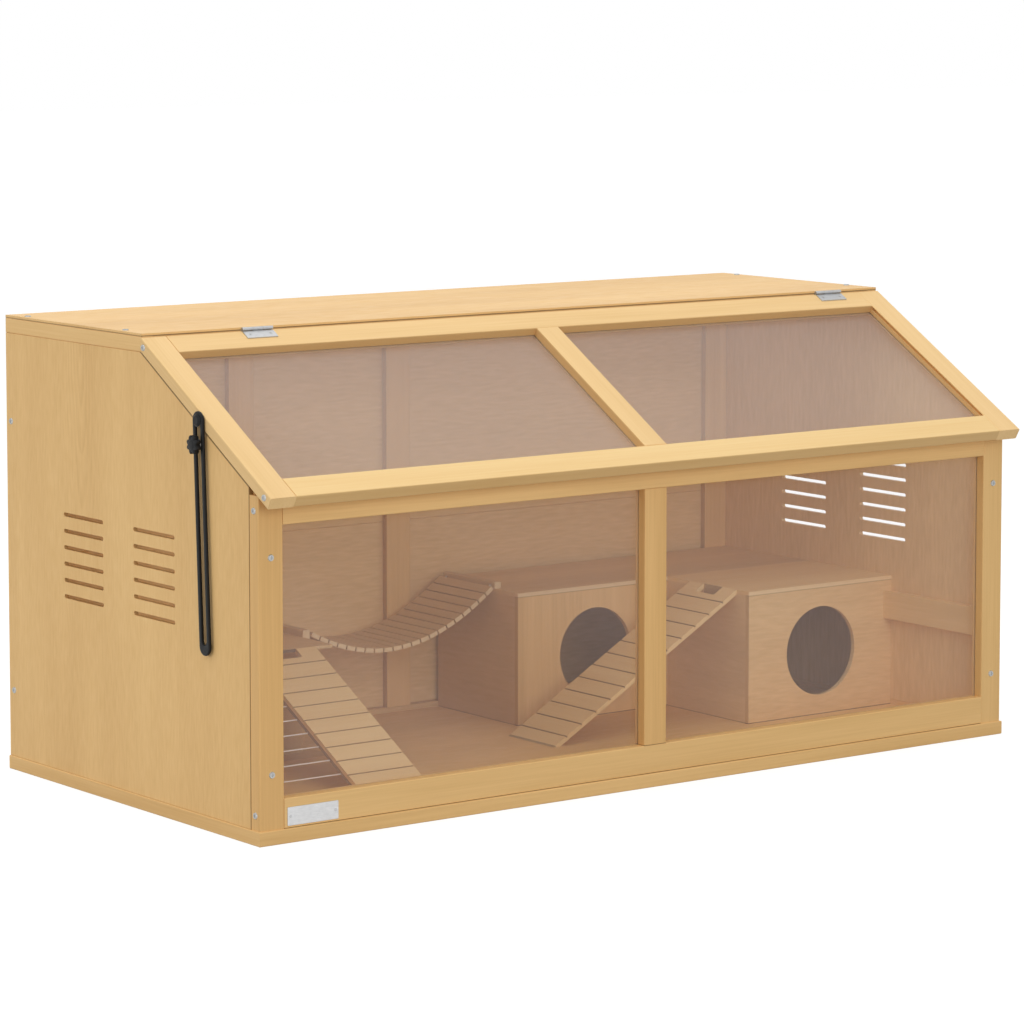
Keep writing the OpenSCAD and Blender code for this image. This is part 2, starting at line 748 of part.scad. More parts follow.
// The stay: a long slotted loop that hangs from a shoulder screw in the lid's side.
// Here Z points out to the left, and the slot runs down from the pivot along -X.
module at_stay_pivot() {
    translate([-half_w, stay_pivot[0], stay_pivot[1]]) rotate([-stay_tilt, 0, 0]) rotate([0, -90, 0])
        children();
}
module stay_pivot_hole() {
    translate([0, 0, -screw_len]) cylinder(r = screw_r + running_play, h = screw_len + cut_over);
}
module stay_loop(half, len) {
    translate([-len, -half]) square([len, 2 * half]);
    for (x = [-len, 0]) translate([x, 0]) circle(half);
}
module stay_arm() {
    half = stay_slot_w / 2;
    color(black_color) at_stay_pivot() translate([0, 0, arm_play]) linear_extrude(stay_t) difference() {
        stay_loop(half + stay_bar_w, stay_slot_len + stay_web - stay_bar_w);
        stay_loop(half, stay_slot_len);
    }
}
module stay_pivot_screw() {
    shoulder = arm_play + stay_t + plate_play;
    color(black_color) at_stay_pivot() {
        translate([0, 0, -screw_len + cut_over]) cylinder(r = screw_r, h = screw_len);
        cylinder(r = stay_shoulder_r, h = shoulder);
        translate([0, 0, shoulder]) cylinder(r1 = stay_head_r, r2 = stay_shoulder_r, h = stay_head_h);
    }
}
// The clamping bolt, its end just off the side panel, with a washer outside the stay
module at_stay_bolt(x) {
    at_stay_pivot() translate([-stay_bolt_at, 0, -half_w - x]) children();
}
module stay_bolt() {
    bolt_x = -wall_x - plate_play;
    color(steel_color) {
        at_stay_bolt(bolt_x) cylinder(r = stay_bolt_r, h = bolt_x - knob_x + knob_bore_depth - cut_over);
        at_stay_bolt(washer_x + washer_t) cylinder(r = washer_r, h = washer_t);
    }
}
module star_knob() {
    color(black_color) at_stay_bolt(knob_x) difference() {
        union() {
            cylinder(r = knob_r - lobe_r, h = knob_h);
            for (i = [0 : knob_lobes - 1]) rotate((i + 0.5) * 360 / knob_lobes)
                translate([knob_r - lobe_r, 0, 0]) cylinder(r = lobe_r, h = knob_h);
        }
        translate([0, 0, -cut_over])
            cylinder(r = stay_bolt_r + running_play, h = knob_bore_depth + cut_over);
    }
}

// The platform on four legs in the left back corner
module platform_board() {
    color(inside_color) translate([-inner_x, platform_y, platform_top - platform_t])
        cube([platform_w, platform_d, platform_t]);
}
module platform_legs() {
    xs = [leg_inset_x - inner_x, platform_x - leg_inset_x - leg_w];
    ys = [platform_y + leg_inset_y, batten_y - leg_inset_y - leg_w];
    color(inside_color) for (x = xs, y = ys)
        translate([x, y, floor_t]) bar_z([leg_w, leg_w, platform_top - platform_t - floor_t]);
}

// A ramp in its own frame: X across, -Y down the slope from its top edge, Z on its walking face
function ramp_len(height, slope) = (height - floor_t) / sin(slope);
module ramp_board(len) {
    reach = len + ramp_t;
    color(inside_color) difference() {
        translate([0, -len - reach, -ramp_t]) cube([ramp_w, len + 2 * reach, ramp_t]);
        translate([(ramp_w - ramp_notch_w) / 2, -ramp_notch_d, -ramp_t - cut_over])
            linear_extrude(ramp_t + 2 * cut_over) rounded_rect(ramp_notch_w, reach, ramp_notch_r);
        for (y = [ramp_plain : groove_pitch : len])
            translate([-cut_over, -y - ramp_groove_w, -ramp_groove_depth])
                cube([ramp_w + 2 * cut_over, ramp_groove_w, ramp_groove_depth + cut_over]);
    }
}
// The left ramp climbs to the platform's front edge, and the right one to the front hut's side
module on_left_ramp() {
    translate([left_ramp_x, platform_y, platform_top]) rotate([left_ramp_slope, 0, 0]) children();
}
module on_right_ramp() {
    translate([hut_x, right_ramp_y + ramp_w, hut_top]) rotate([0, 0, -90])
        rotate([right_ramp_slope, 0, 0]) children();
}
// Room ahead of a ramp's top edge, above the floor
module left_ramp_room() {
    translate([-far / 2, platform_y - far, floor_t]) cube(far);
}
module right_ramp_room() {
    translate([hut_x - far, -far / 2, floor_t]) cube(far);
}
left_ramp_len = ramp_len(platform_top, left_ramp_slope);
right_ramp_len = ramp_len(hut_top, right_ramp_slope);
module left_ramp_board() {
    intersection() {
        on_left_ramp() ramp_board(left_ramp_len);
        left_ramp_room();
    }
}
module left_ramp_stringers() {
    reach = left_ramp_len + ramp_t;
    color(inside_color) intersection() {
        on_left_ramp() for (x = [0, ramp_w - stringer_w])
            translate([x, -left_ramp_len - reach, -ramp_t - stringer_h])
                cube([stringer_w, left_ramp_len + 2 * reach, stringer_h]);
        left_ramp_room();
    }
}
module right_ramp_board() {
    intersection() {
        on_right_ramp() ramp_board(right_ramp_len);
        right_ramp_room();
    }
}
// Thin rungs from the left wall to the left ramp's stringer, midway between the grooves
module left_ramp_rungs() {
    len = left_ramp_x + inner_x;
    first = ramp_plain + (ramp_groove_w + groove_pitch) / 2;
    color(rung_color) on_left_ramp()
        for (y = [first : groove_pitch : left_ramp_len - groove_pitch])
            translate([-len, -y, -ramp_t - stringer_h + 0.6 * rung_d])
                rotate([0, 90, 0]) cylinder(d = rung_d, h = len);
}

// Two huts in the right back corner that open into each other: walls with round doors, flat roofs
module hut_face(x, y, w, door_x) {
    color(inside_color) difference() {
        translate([x, y, floor_t]) cube([w, hut_wall_t, hut_ceiling - floor_t]);
        translate([door_x, y - cut_over, door_z]) rotate([-90, 0, 0])
            cylinder(d = door_d, h = hut_wall_t + 2 * cut_over, $fn = 96);
    }
}
module hut_side(x, low_y, high_y) {
    color(inside_color) translate([x, low_y, floor_t])
        cube([hut_wall_t, high_y - low_y, hut_ceiling - floor_t]);
}
module hut_roof(x, low_y, high_y) {
    color(inside_color) translate([x, low_y, hut_ceiling])
        cube([inner_x - x, high_y - low_y, hut_roof_t]);
}
module front_hut_face() { hut_face(hut_x, hut_y, hut_w, hut_door_x); }
module front_hut_side() { hut_side(hut_x, hut_y + hut_wall_t, rear_hut_y); }
module front_hut_roof() { hut_roof(hut_x, hut_y, rear_hut_y); }
module rear_hut_face() {
    hut_face(rear_hut_x, rear_hut_y, hut_x + hut_wall_t - rear_hut_x, rear_door_x);
}
module rear_hut_side() { hut_side(rear_hut_x, rear_hut_y + hut_wall_t, batten_y); }
module rear_hut_roof() { hut_roof(rear_hut_x, rear_hut_y, batten_y); }
module wall_rail() {
    color(inside_color) translate([inner_x - wall_rail_t, frame_back_y, wall_rail_z])
        bar_y([wall_rail_t, hut_y - frame_back_y, wall_rail_h]);
}

// The hanging bridge: drilled slats on two cords, from a block fixed to the platform's end to one
// on the rear hut's roof
module bridge_slats() {
    color(inside_color) for (i = [0 : bridge_slats_n - 1]) {
        x = bridge_station(i);
        translate([x, bridge_y, bridge_z(x)]) rotate([0, -bridge_lean(x), 0]) difference() {
            translate([-bridge_slat_w / 2, 0, -bridge_slat_t / 2])
                cube([bridge_slat_w, bridge_slat_len, bridge_slat_t]);
            for (y = cord_ys) translate([-bridge_slat_w, y - bridge_y, 0]) rotate([0, 90, 0])
                cylinder(r = cord_hole_r, h = 2 * bridge_slat_w);
        }
    }
}
module bridge_end_blocks() {
    color(inside_color) {
        translate([platform_x, bridge_y, platform_top - platform_t])
            bar_y([block_w, bridge_slat_len, platform_t + block_h]);
        translate([bridge_b[0], bridge_y, hut_top]) bar_y([block_w, bridge_slat_len, block_h]);
    }
}
// A cord along the bridge's curve: a ring of points at each station, joined into a closed tube
module bridge_cord(y) {
    xs = [for (i = [0 : cord_rings - 1]) bridge_a[0] + i * bridge_run / (cord_rings - 1)];
    ring = [for (k = [0 : cord_sides - 1]) let (turn = k * 360 / cord_sides)
        cord_d / 2 * [cos(turn), sin(turn)]];
    points = [for (i = [0 : cord_rings - 1], p = ring)
        let (lean = i == 0 || i == cord_rings - 1 ? 0 : bridge_lean(xs[i]))
            [xs[i] - p[1] * sin(lean), y + p[0], bridge_z(xs[i]) + p[1] * cos(lean)]];
    last = (cord_rings - 1) * cord_sides;
    walls = [for (i = [0 : cord_rings - 2], k = [0 : cord_sides - 1])
        let (a = i * cord_sides + k, b = i * cord_sides + (k + 1) % cord_sides)
            each [[a, a + cord_sides, b], [b, a + cord_sides, b + cord_sides]]];
    caps = [[for (k = [0 : cord_sides - 1]) k], [for (k = [0 : cord_sides - 1]) last + cord_sides - 1 - k]];
    polyhedron(points, concat(walls, caps));
}
module bridge_cords() {
    color(rung_color) for (y = cord_ys) bridge_cord(y);
}

module cabinet_screws() {
    color(steel_color) {
        for (side = [-1, 1]) at_side_screws(side) screw();
        at_face_screws() screw();
        at_roof_screws() screw();
    }
}
module lid_screws() {
    color(steel_color) for (side = [-1, 1]) at_lid_screws(side) screw();
}

base_front_board();
base_back_board();
base_left_board();
base_right_board();
floor_board();
left_side_panel();
right_side_panel();
back_lower_panel();
back_upper_panel();
back_left_post();
back_right_post();
back_middle_batten();
back_side_batten();
roof_left_rail();
roof_right_rail();
roof_front_rail();
roof_back_rail();
roof_board();
front_left_stile();
front_right_stile();
front_middle_stile();
front_bottom_rail();
front_top_rail();
front_left_pane();
front_right_pane();
lid_left_stile();
lid_right_stile();
lid_top_rail();
lid_bottom_rail();
lid_middle_bar();
lid_left_pane();
lid_right_pane();
hinge_roof_leaves();
hinge_lid_leaves();
hinge_pins();
hinge_roof_screws();
hinge_lid_screws();
stay_arm();
stay_pivot_screw();
stay_bolt();
star_knob();
platform_board();
platform_legs();
left_ramp_board();
left_ramp_stringers();
left_ramp_rungs();
right_ramp_board();
front_hut_face();
front_hut_side();
front_hut_roof();
rear_hut_face();
rear_hut_side();
rear_hut_roof();
wall_rail();
bridge_slats();
bridge_end_blocks();
bridge_cords();
cabinet_screws();
lid_screws();
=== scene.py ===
"""Looks of a wooden hamster cage with a glazed front and a sloping glazed lid.

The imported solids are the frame, in metres: +X to the right, +Y to the back, +Z up, with the
origin at the middle of the underside. Each sub-assembly is a class that dresses its solids and
builds the pieces that need a fuller shape than the solids have.
"""

import logging
import math
from dataclasses import dataclass, replace
from enum import Enum

import bmesh
import bpy
import numpy as np
from mathutils import Euler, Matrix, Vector


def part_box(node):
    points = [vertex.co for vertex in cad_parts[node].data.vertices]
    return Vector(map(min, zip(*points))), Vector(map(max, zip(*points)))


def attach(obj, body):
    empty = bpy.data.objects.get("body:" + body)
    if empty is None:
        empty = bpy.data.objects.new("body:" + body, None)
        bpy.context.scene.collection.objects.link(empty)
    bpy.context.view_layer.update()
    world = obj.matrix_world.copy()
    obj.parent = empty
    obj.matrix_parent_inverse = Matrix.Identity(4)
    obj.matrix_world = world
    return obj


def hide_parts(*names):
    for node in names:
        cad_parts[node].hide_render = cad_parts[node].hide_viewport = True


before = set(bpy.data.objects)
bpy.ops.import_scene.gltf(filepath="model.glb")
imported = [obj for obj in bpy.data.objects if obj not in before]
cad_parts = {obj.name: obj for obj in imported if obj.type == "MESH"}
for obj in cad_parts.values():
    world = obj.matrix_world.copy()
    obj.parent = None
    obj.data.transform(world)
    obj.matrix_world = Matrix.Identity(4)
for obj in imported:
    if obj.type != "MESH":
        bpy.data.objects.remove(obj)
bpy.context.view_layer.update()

LOG = logging.getLogger("cage")
MM = 0.001
QUARTER = math.pi / 2.0
FULL_TURN = 2.0 * math.pi

Colour = tuple[float, float, float]
Triple = tuple[float, float, float]
Span = tuple[float, float]
Array = np.ndarray
Material = bpy.types.Material
Piece = bpy.types.Object
Socket = bpy.types.NodeSocket
Value = float | Colour | Socket

ORIGIN: Triple = (0.0, 0.0, 0.0)
RISING: Span = (0.0, 1.0)
FALLING: Span = (1.0, 0.0)
RIGHT, BACK, UP = np.eye(3)
# Size of the ring inside a flat end, as a share of the end's own ring
INNER_RING = 0.5

# Steps of the even sequences that place each board's pith, and the reach of these places in metres
TURN_STEP, REACH_STEP, RUN_STEP = 0.618034, 0.414214, 0.732051
PITH_NEAR, PITH_SPREAD, PITH_RUN = 0.05, 0.09, 3.0
# Places of the marks of painted shade, shadow and highlight, in millimetres
END_SPARE = 0.3
LID_EDGE: Triple = (0.0, -35.0, 563.5)
PANEL_EDGE: Triple = (0.0, -35.0, 544.1)
LEFT_RAMP_TOP: Triple = (-305.0, 75.0, 150.0)
RIGHT_RAMP_TOP: Triple = (319.0, -5.0, 184.0)
RAMP_PLAIN, RAMP_HALF = 26.0, 47.8
GROOVE_LOW, GROOVE_HIGH = -2.6, -0.25


class Body(Enum):
    """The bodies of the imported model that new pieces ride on."""

    CABINET = "cabinet"
    STAY = "stay"
    KNOB = "knob"


class Slot(Enum):
    """The record's material slots for the new pieces' finishes; nothing in this script reads them.
    """

    STEEL = "zinc_steel"
    PLASTIC = "black_plastic"
    CORD = "cord"


class Grain(Enum):
    """Direction of the fibres: an axis, or the slope of the lid or of a ramp.

    Each value is the turn in degrees that lays the fibres along X.
    """

    X = (0.0, 0.0, 0.0)
    Y = (0.0, 0.0, -90.0)
    Z = (0.0, 90.0, 0.0)
    LID = (-30.25, 0.0, -90.0)
    LEFT_RAMP = (-28.8, 0.0, -90.0)
    RIGHT_RAMP = (0.0, 30.1, 0.0)

    def turn(self) -> Euler:
        """Returns the turn as an Euler angle in radians."""
        return Euler([math.radians(angle) for angle in self.value])


class Ray(Enum):
    """Kinds of ray that see the plain white backdrop."""

    CAMERA = "Is Camera Ray"
    GLOSSY = "Is Glossy Ray"
    TRANSMISSION = "Is Transmission Ray"


class ShaderGraph:
    """Node tree of a material or of the world, with short calls for the nodes used most."""

    def __init__(self, tree: bpy.types.NodeTree) -> None:
        """Takes over a node tree and empties it."""
        self.tree = tree
        self.tree.nodes.clear()

    def node(self, kind: str, inputs: dict[str | int, Value] | None = None,
             **settings: object) -> bpy.types.Node:
        """Adds a node.

        Args:
            kind: Blender's name of the node type.
            inputs: What its inputs are fed, by name or number.
            settings: Properties of the node.

        Returns:
            The new node.
        """
        made = self.tree.nodes.new(kind)
        for key, value in settings.items():
            setattr(made, key, value)
        for key, value in (inputs or {}).items():
            self.feed(made.inputs[key], value)
        return made

    def feed(self, socket: Socket, value: Value) -> None:
        """Links a socket to another one, or sets its own value.

        Args:
            socket: The input that is fed.
            value: An output socket, a number, a vector or a colour.
        """
        if isinstance(value, Socket):
            self.tree.links.new(value, socket)
        elif isinstance(value, tuple) and socket.type == "RGBA":
            socket.default_value = (*value, 1.0)
        else:
            socket.default_value = value

    def math(self, operation: str, *values: Value) -> Socket:
        """Returns the result of a Math node with these inputs, in order."""
        return self.node("ShaderNodeMath", dict(enumerate(values)), operation=operation).outputs[0]

    def place(self, turn: Euler | Triple = ORIGIN, shift: Triple = ORIGIN) -> Socket:
        """Turns and shifts the object's own coordinates.

        Args:
            turn: Turn of the pattern, in radians.
            shift: Shift of the pattern after the turn, in metres.

        Returns:
            The coordinates, in metres.
        """
        own = self.node("ShaderNodeTexCoord").outputs["Object"]
        inputs = {"Vector": own, "Rotation": turn, "Location": shift}
        return self.node("ShaderNodeMapping", inputs).outputs["Vector"]

    def scaled(self, vector: Socket, scale: Triple) -> Socket:
        """Returns coordinates times a scale for each axis."""
        made = self.node("ShaderNodeVectorMath", {0: vector, 1: scale}, operation="MULTIPLY")
        return made.outputs[0]

    def noise(self, vector: Socket, scale: Triple, detail: float = 2.0,
              contrast: Span = (0.3, 0.7)) -> Socket:
        """Adds a noise pattern that is stretched to the full range from 0 to 1.

        Args:
            vector: Coordinates in metres.
            scale: Waves in a metre along each axis.
            detail: Finer layers of the noise.
            contrast: Noise values that become 0 and 1.

        Returns:
            The pattern.
        """
        made = self.node("ShaderNodeTexNoise", {
            "Vector": self.scaled(vector, scale), "Scale": 1.0, "Detail": detail})
        return self.spread(made.outputs[0], contrast)

    def spread(self, value: Socket, span: Span, onto: Span = RISING) -> Socket:
        """Maps the ends of a span onto those of another one, clamps and returns the values."""
        made = self.node("ShaderNodeMapRange", dict(enumerate((value, *span, *onto))))
        return made.outputs[0]

    def blend(self, share: Socket, first: Value, second: Value) -> Socket:
        """Returns a mix of two colours by the share of the second one, from 0 to 1."""
        made = self.node("ShaderNodeMix", {0: share, 6: first, 7: second}, data_type="RGBA")
        return made.outputs[2]

    def weighted(self, *terms: tuple[Socket, float]) -> Socket:
        """Sums patterns, each times its weight.

        Args:
            terms: The patterns with their weights.

        Returns:
            The sum.
        """
        total: Value = 0.0
        for pattern, weight in terms:
            total = self.math("MULTIPLY_ADD", pattern, weight, total)
        return total

    def bump(self, height: Socket, strength: float, distance: float) -> Socket:
        """Returns the normal that a pattern bends, by a share of its full height in metres."""
        inputs = {"Height": height, "Strength": strength, "Distance": distance}
        return self.node("ShaderNodeBump", inputs).outputs["Normal"]

    def principled(self, colour: Value, roughness: Value, normal: Socket, metallic: float = 0.0,
                   specular: float = 0.5, alpha: float = 1.0) -> None:
        """Ends the tree in one Principled surface.

        Args:
            colour: Base colour.
            roughness: Roughness.
            normal: Bent normal.
            metallic: 1 for bare metal.
            specular: Strength of the gloss.
            alpha: How much of the light behind is held back.
        """
        made = self.node("ShaderNodeBsdfPrincipled", {
            "Base Color": colour, "Roughness": roughness, "Normal": normal, "Metallic": metallic,
            "Specular IOR Level": specular, "Alpha": alpha})
        self.surface(made.outputs["BSDF"])

    def surface(self, shader: Socket, output: str = "ShaderNodeOutputMaterial") -> None:
        """Links a shader to the tree's output."""
        self.feed(self.node(output).inputs["Surface"], shader)


def new_material(name: str) -> tuple[Material, ShaderGraph]:
    """Makes an empty node material.

    Args:
        name: Name of the material.

    Returns:
        The material and its graph.
    """
    material = bpy.data.materials.new(name)
    material.use_nodes = True
    return material, ShaderGraph(material.node_tree)


def new_object(name: str, data: bpy.types.ID) -> Piece:
    """Makes an object and links it to the scene.

    Args:
        name: Name of the object.
        data: Its mesh, lamp or camera.

    Returns:
        The object.
    """
    made = bpy.data.objects.new(name, data)
    bpy.context.scene.collection.objects.link(made)
    return made


@dataclass(frozen=True)
class Mark:
    """A block of space, laid along a direction, in which a board takes another tone: painted shade,
    shadow or highlight, or a dark joint.
    """

    colour: Colour
    strength: float
    low: Triple
    high: Triple
    origin: Triple = ORIGIN
    grain: Grain = Grain.X

    def on(self, node: str) -> "Mark":
        """Returns the mark itself, whose place is already given."""
        return self

    def share(self, graph: ShaderGraph) -> Socket:
        """Tests the place: inside where each distance from the block's middle is within reach.

        Args:
            graph: The board's graph.

        Returns:
            The mark's strength inside the block and 0 outside.
        """
        low, high, origin = (Vector(spot) * MM for spot in (self.low, self.high, self.origin))
        turn = self.grain.turn()
        origin.rotate(turn)
        shift = (low + high) / -2.0 - origin
        spot = graph.place(turn, tuple(shift))
        away = graph.node("ShaderNodeVectorMath", {0: spot}, operation="ABSOLUTE")
        split = graph.node("ShaderNodeSeparateXYZ", {0: away.outputs[0]})
        share: Value = self.strength
        for distance, reach in zip(split.outputs, (high - low) / 2.0):
            share = graph.math("MULTIPLY", share, graph.math("LESS_THAN", distance, reach))
        return share


@dataclass(frozen=True)
class End:
    """A mark at one end of a board: the axis is 0, 1 or 2, and the depth is in millimetres."""

    axis: int
    colour: Colour
    strength: float
    depth: float = 0.3
    at_top: bool = False

    def on(self, node: str) -> Mark:
        """Places the mark.

        Args:
            node: The solid.

        Returns:
            A mark that holds this end of the solid alone.
        """
        low, high = (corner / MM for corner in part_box(node))
        spare = Vector((END_SPARE,) * 3)
        if self.at_top:
            low[self.axis] = high[self.axis] - self.depth + END_SPARE
        else:
            high[self.axis] = low[self.axis] + self.depth - END_SPARE
        return Mark(self.colour, self.strength, tuple(low - spare), tuple(high + spare))


@dataclass(frozen=True)
class WoodFinish:
    """Clear lacquered wood: growth rings round a pith, fine fibres and broad streaks."""

    name: str
    light: Colour
    dark: Colour
    ring_step: float
    ring_share: float
    fibre_share: float
    streak_share: float
    sway: float
    ring_reach: float = 0.25
    lean: float = 0.0
    stave: float = 0.0
    fibre_rate: Triple = (7.0, 420.0, 420.0)
    streak_rate: Triple = (1.6, 42.0, 42.0)
    sway_rate: Triple = (4.5, 7.0, 7.0)
    late_wood: Span = (0.15, 0.85)
    stave_share: float = 0.35
    detail: float = 3.0
    sway_contrast: Span = (0.2, 0.8)
    fibre_contrast: Span = (0.28, 0.72)
    fibre_relief: float = 0.7
    ring_relief: float = 0.3
    roughness: Span = (0.42, 0.58)
    specular: float = 0.22
    bump: float = 0.2
    bump_height: float = 0.0003

    def rings(self, graph: ShaderGraph, place: Socket) -> Socket:
        """Growth rings: distance from the pith in ring steps, swayed along the fibres.

        Args:
            graph: The material's graph.
            place: Coordinates with the fibres along X and the pith in the XZ plane, at its lean.

        Returns:
            0 in early wood, rising to 1 in late wood, once for each ring, and fading outwards.
        """
        leant = graph.node("ShaderNodeVectorRotate", {"Vector": place, "Angle": self.lean},
                           rotation_type="Y_AXIS")
        flat = graph.scaled(leant.outputs["Vector"], (0.0, 1.0, 1.0))
        across = graph.node("ShaderNodeVectorMath", {0: flat}, operation="LENGTH").outputs["Value"]
        sway = graph.noise(place, self.sway_rate, self.detail, self.sway_contrast)
        steps = graph.math("MULTIPLY", across, 1.0 / self.ring_step)
        phase = graph.math("FRACT", graph.math("MULTIPLY_ADD", sway, self.sway, steps))
        rise = graph.spread(phase, self.late_wood)
        fall = graph.spread(phase, (self.late_wood[1], 1.0), FALLING)
        fade = graph.spread(across, (0.0, self.ring_reach), FALLING)
        return graph.math("MULTIPLY", graph.math("MULTIPLY", rise, fall), fade)

    def staves(self, graph: ShaderGraph, place: Socket) -> Socket:
        """A tone for each stave of a glued board, counted across the fibres.

        Args:
            graph: The material's graph.
            place: Coordinates with the fibres along X.

        Returns:
            One random tone from 0 to 1 for each stave.
        """
        depth = graph.node("ShaderNodeSeparateXYZ", {0: place}).outputs["Z"]
        count = graph.math("FLOOR", graph.math("DIVIDE", depth, self.stave))
        tone = graph.node("ShaderNodeTexWhiteNoise", {"W": count}, noise_dimensions="1D")
        return tone.outputs["Value"]

    def material(self, name: str, grain: Grain, shift: Triple,
                 marks: tuple[Mark, ...]) -> Material:
        """Makes the finish for one board.

        Args:
            name: Name of the material.
            grain: Direction of the fibres.
            shift: Shift of the pattern, in metres, which sets the pith's place.
            marks: Places of the board with painted shade, shadow or highlight, or a dark joint.

        Returns:
            The material.
        """
        material, graph = new_material(name)
        place = graph.place(grain.turn(), shift)
        rings = self.rings(graph, place)
        fibres = graph.noise(place, self.fibre_rate, self.detail, self.fibre_contrast)
        streaks = graph.noise(place, self.streak_rate, self.detail)
        terms = [(rings, self.ring_share), (fibres, self.fibre_share), (streaks, self.streak_share)]
        if self.stave > 0.0:
            terms.append((self.staves(graph, place), self.stave_share))
        colour = graph.blend(graph.weighted(*terms), self.light, self.dark)
        for mark in marks:
            colour = graph.blend(mark.share(graph), colour, mark.colour)
        relief = graph.weighted((fibres, self.fibre_relief), (rings, self.ring_relief))
        graph.principled(colour, graph.spread(fibres, RISING, self.roughness),
                         graph.bump(relief, self.bump, self.bump_height), specular=self.specular)
        return material


@dataclass(frozen=True)
class SurfaceFinish:
    """Plated metal, moulded plastic, a coating or rope: a fine grain over a clouded tone."""

    name: str
    light: Colour
    dark: Colour
    grain_rate: Triple
    cloud_rate: Triple
    roughness: Span
    bump: float
    bump_height: float = 0.0001
    cloud_detail: float = 2.0
    grain_share: float = 0.4
    cloud_share: float = 0.6
    metallic: float = 0.0
    specular: float = 0.5

    def material(self) -> Material:
        """Makes the finish.

        Returns:
            The material.
        """
        material, graph = new_material(self.name)
        place = graph.place()
        grain = graph.noise(place, self.grain_rate)
        cloud = graph.noise(place, self.cloud_rate, self.cloud_detail)
        tone = graph.weighted((grain, self.grain_share), (cloud, self.cloud_share))
        graph.principled(graph.blend(tone, self.light, self.dark),
                         graph.spread(grain, RISING, self.roughness),
                         graph.bump(grain, self.bump, self.bump_height),
                         self.metallic, self.specular)
        return material


@dataclass(frozen=True)
class AcrylicFinish:
    """Tinted clear sheet: lets most light through and lays a warm haze, tint with painted
    reflection, over the rest, in slanting bands of painted reflection.
    """

    name: str
    light: Colour
    dark: Colour
    alpha: float
    # Slant of the painted reflection bands, in degrees
    slant: float = -36.0
    reflection_band_rate: Triple = (0.4, 3.0, 4.5)
    reflection_band_contrast: Span = (0.42, 0.58)
    smear_rate: Triple = (30.0, 30.0, 30.0)
    roughness: Span = (0.06, 0.14)
    bump: float = 0.05
    bump_height: float = 0.0001

    def material(self) -> Material:
        """Makes the finish.

        Returns:
            The material.
        """
        material, graph = new_material(self.name)
        slanted = graph.place((0.0, math.radians(self.slant), 0.0))
        # Slanting bands of painted reflection between the light and the dark haze
        reflection_bands = graph.noise(slanted, self.reflection_band_rate, 0.0, self.reflection_band_contrast)
        smear = graph.noise(graph.place(), self.smear_rate)
        graph.principled(graph.blend(reflection_bands, self.light, self.dark),
                         graph.spread(smear, RISING, self.roughness),
                         graph.bump(smear, self.bump, self.bump_height), alpha=self.alpha)
        return material


PINE = WoodFinish("pine", (0.97, 0.64, 0.28), (0.73, 0.44, 0.165), ring_step=0.0075,
                  ring_share=0.08, fibre_share=0.26, streak_share=0.46, sway=1.2,
                  streak_rate=(1.3, 24.0, 24.0))
VENEER = WoodFinish("veneer", (0.975, 0.645, 0.28), (0.745, 0.445, 0.17), ring_step=0.011,
                    ring_share=0.1, fibre_share=0.28, streak_share=0.42, sway=2.6,
                    fibre_rate=(42.0, 300.0, 300.0), streak_rate=(1.5, 15.0, 15.0))
STAVED = WoodFinish("staved", (0.97, 0.65, 0.30), (0.69, 0.42, 0.165), ring_step=0.009,
                    ring_share=0.12, fibre_share=0.26, streak_share=0.28, sway=1.4, stave=0.05)
FIGURED = replace(VENEER, name="figured", ring_step=0.0065, ring_share=0.3, sway=0.9,
                  ring_reach=0.055, lean=0.11, sway_rate=(9.0, 16.0, 16.0))
# A paler copy of pine: on the lid's members it is painted top light
PALE_PINE = replace(PINE, name="pale_pine", light=(0.98, 0.68, 0.33), dark=(0.80, 0.52, 0.215))
# An even paler copy of pine for the lid's bottom rail: painted top light
TOPLIT_PINE = replace(PINE, name="toplit_pine", light=(1.0, 0.73, 0.355), dark=(0.86, 0.56, 0.23))
WARM_PINE = replace(PINE, name="warm_pine", light=(0.90, 0.56, 0.23), dark=(0.67, 0.385, 0.135))
GREY_PINE = replace(PINE, name="grey_pine", light=(0.84, 0.60, 0.325), dark=(0.66, 0.45, 0.225))
# Darker copies of pine for painted shade: on the left ramp's stringers, and on the base's back
# board and the platform's legs
DEEP_SHADE_PINE = replace(PINE, name="deep_shade_pine", light=(0.47, 0.31, 0.16), dark=(0.35, 0.22, 0.11))
SHADED_PINE = replace(PINE, name="shaded_pine", light=(0.80, 0.52, 0.23), dark=(0.61, 0.37, 0.145))
PALE_VENEER = replace(VENEER, name="pale_veneer", light=(0.98, 0.69, 0.35),
                      dark=(0.74, 0.48, 0.215), ring_share=0.06, fibre_share=0.46,
                      streak_share=0.24)
# A darker copy of the veneer: painted shade on the rear hut's side
SHADED_VENEER = replace(VENEER, name="shaded_veneer", light=(0.84, 0.575, 0.30),
                      dark=(0.64, 0.405, 0.185))
GREY_VENEER = replace(VENEER, name="grey_veneer", light=(0.92, 0.665, 0.35),
                      dark=(0.69, 0.46, 0.22))
RAMP_WOOD = replace(PINE, name="ramp_wood", light=(0.99, 0.73, 0.375), dark=(0.86, 0.57, 0.25),
                    ring_share=0.05, streak_rate=(3.0, 30.0, 30.0))
# Dark brown for painted contact shadows, painted shadow lines in gaps and painted shade behind the
# ramps' notches, and for dark joints
SEAM_AND_SHADOW: Colour = (0.17, 0.082, 0.03)
SHADE: Colour = (0.42, 0.23, 0.085)
# Amber for painted shade on the side faces and the front face of the lid's members
AMBER_SHADE: Colour = (0.45, 0.21, 0.05)
# Pale tone for painted highlights on the front edges of the huts' roofs and on the front ends of
# the bridge's slats and blocks
PAINTED_HIGHLIGHT: Colour = (1.0, 0.80, 0.52)
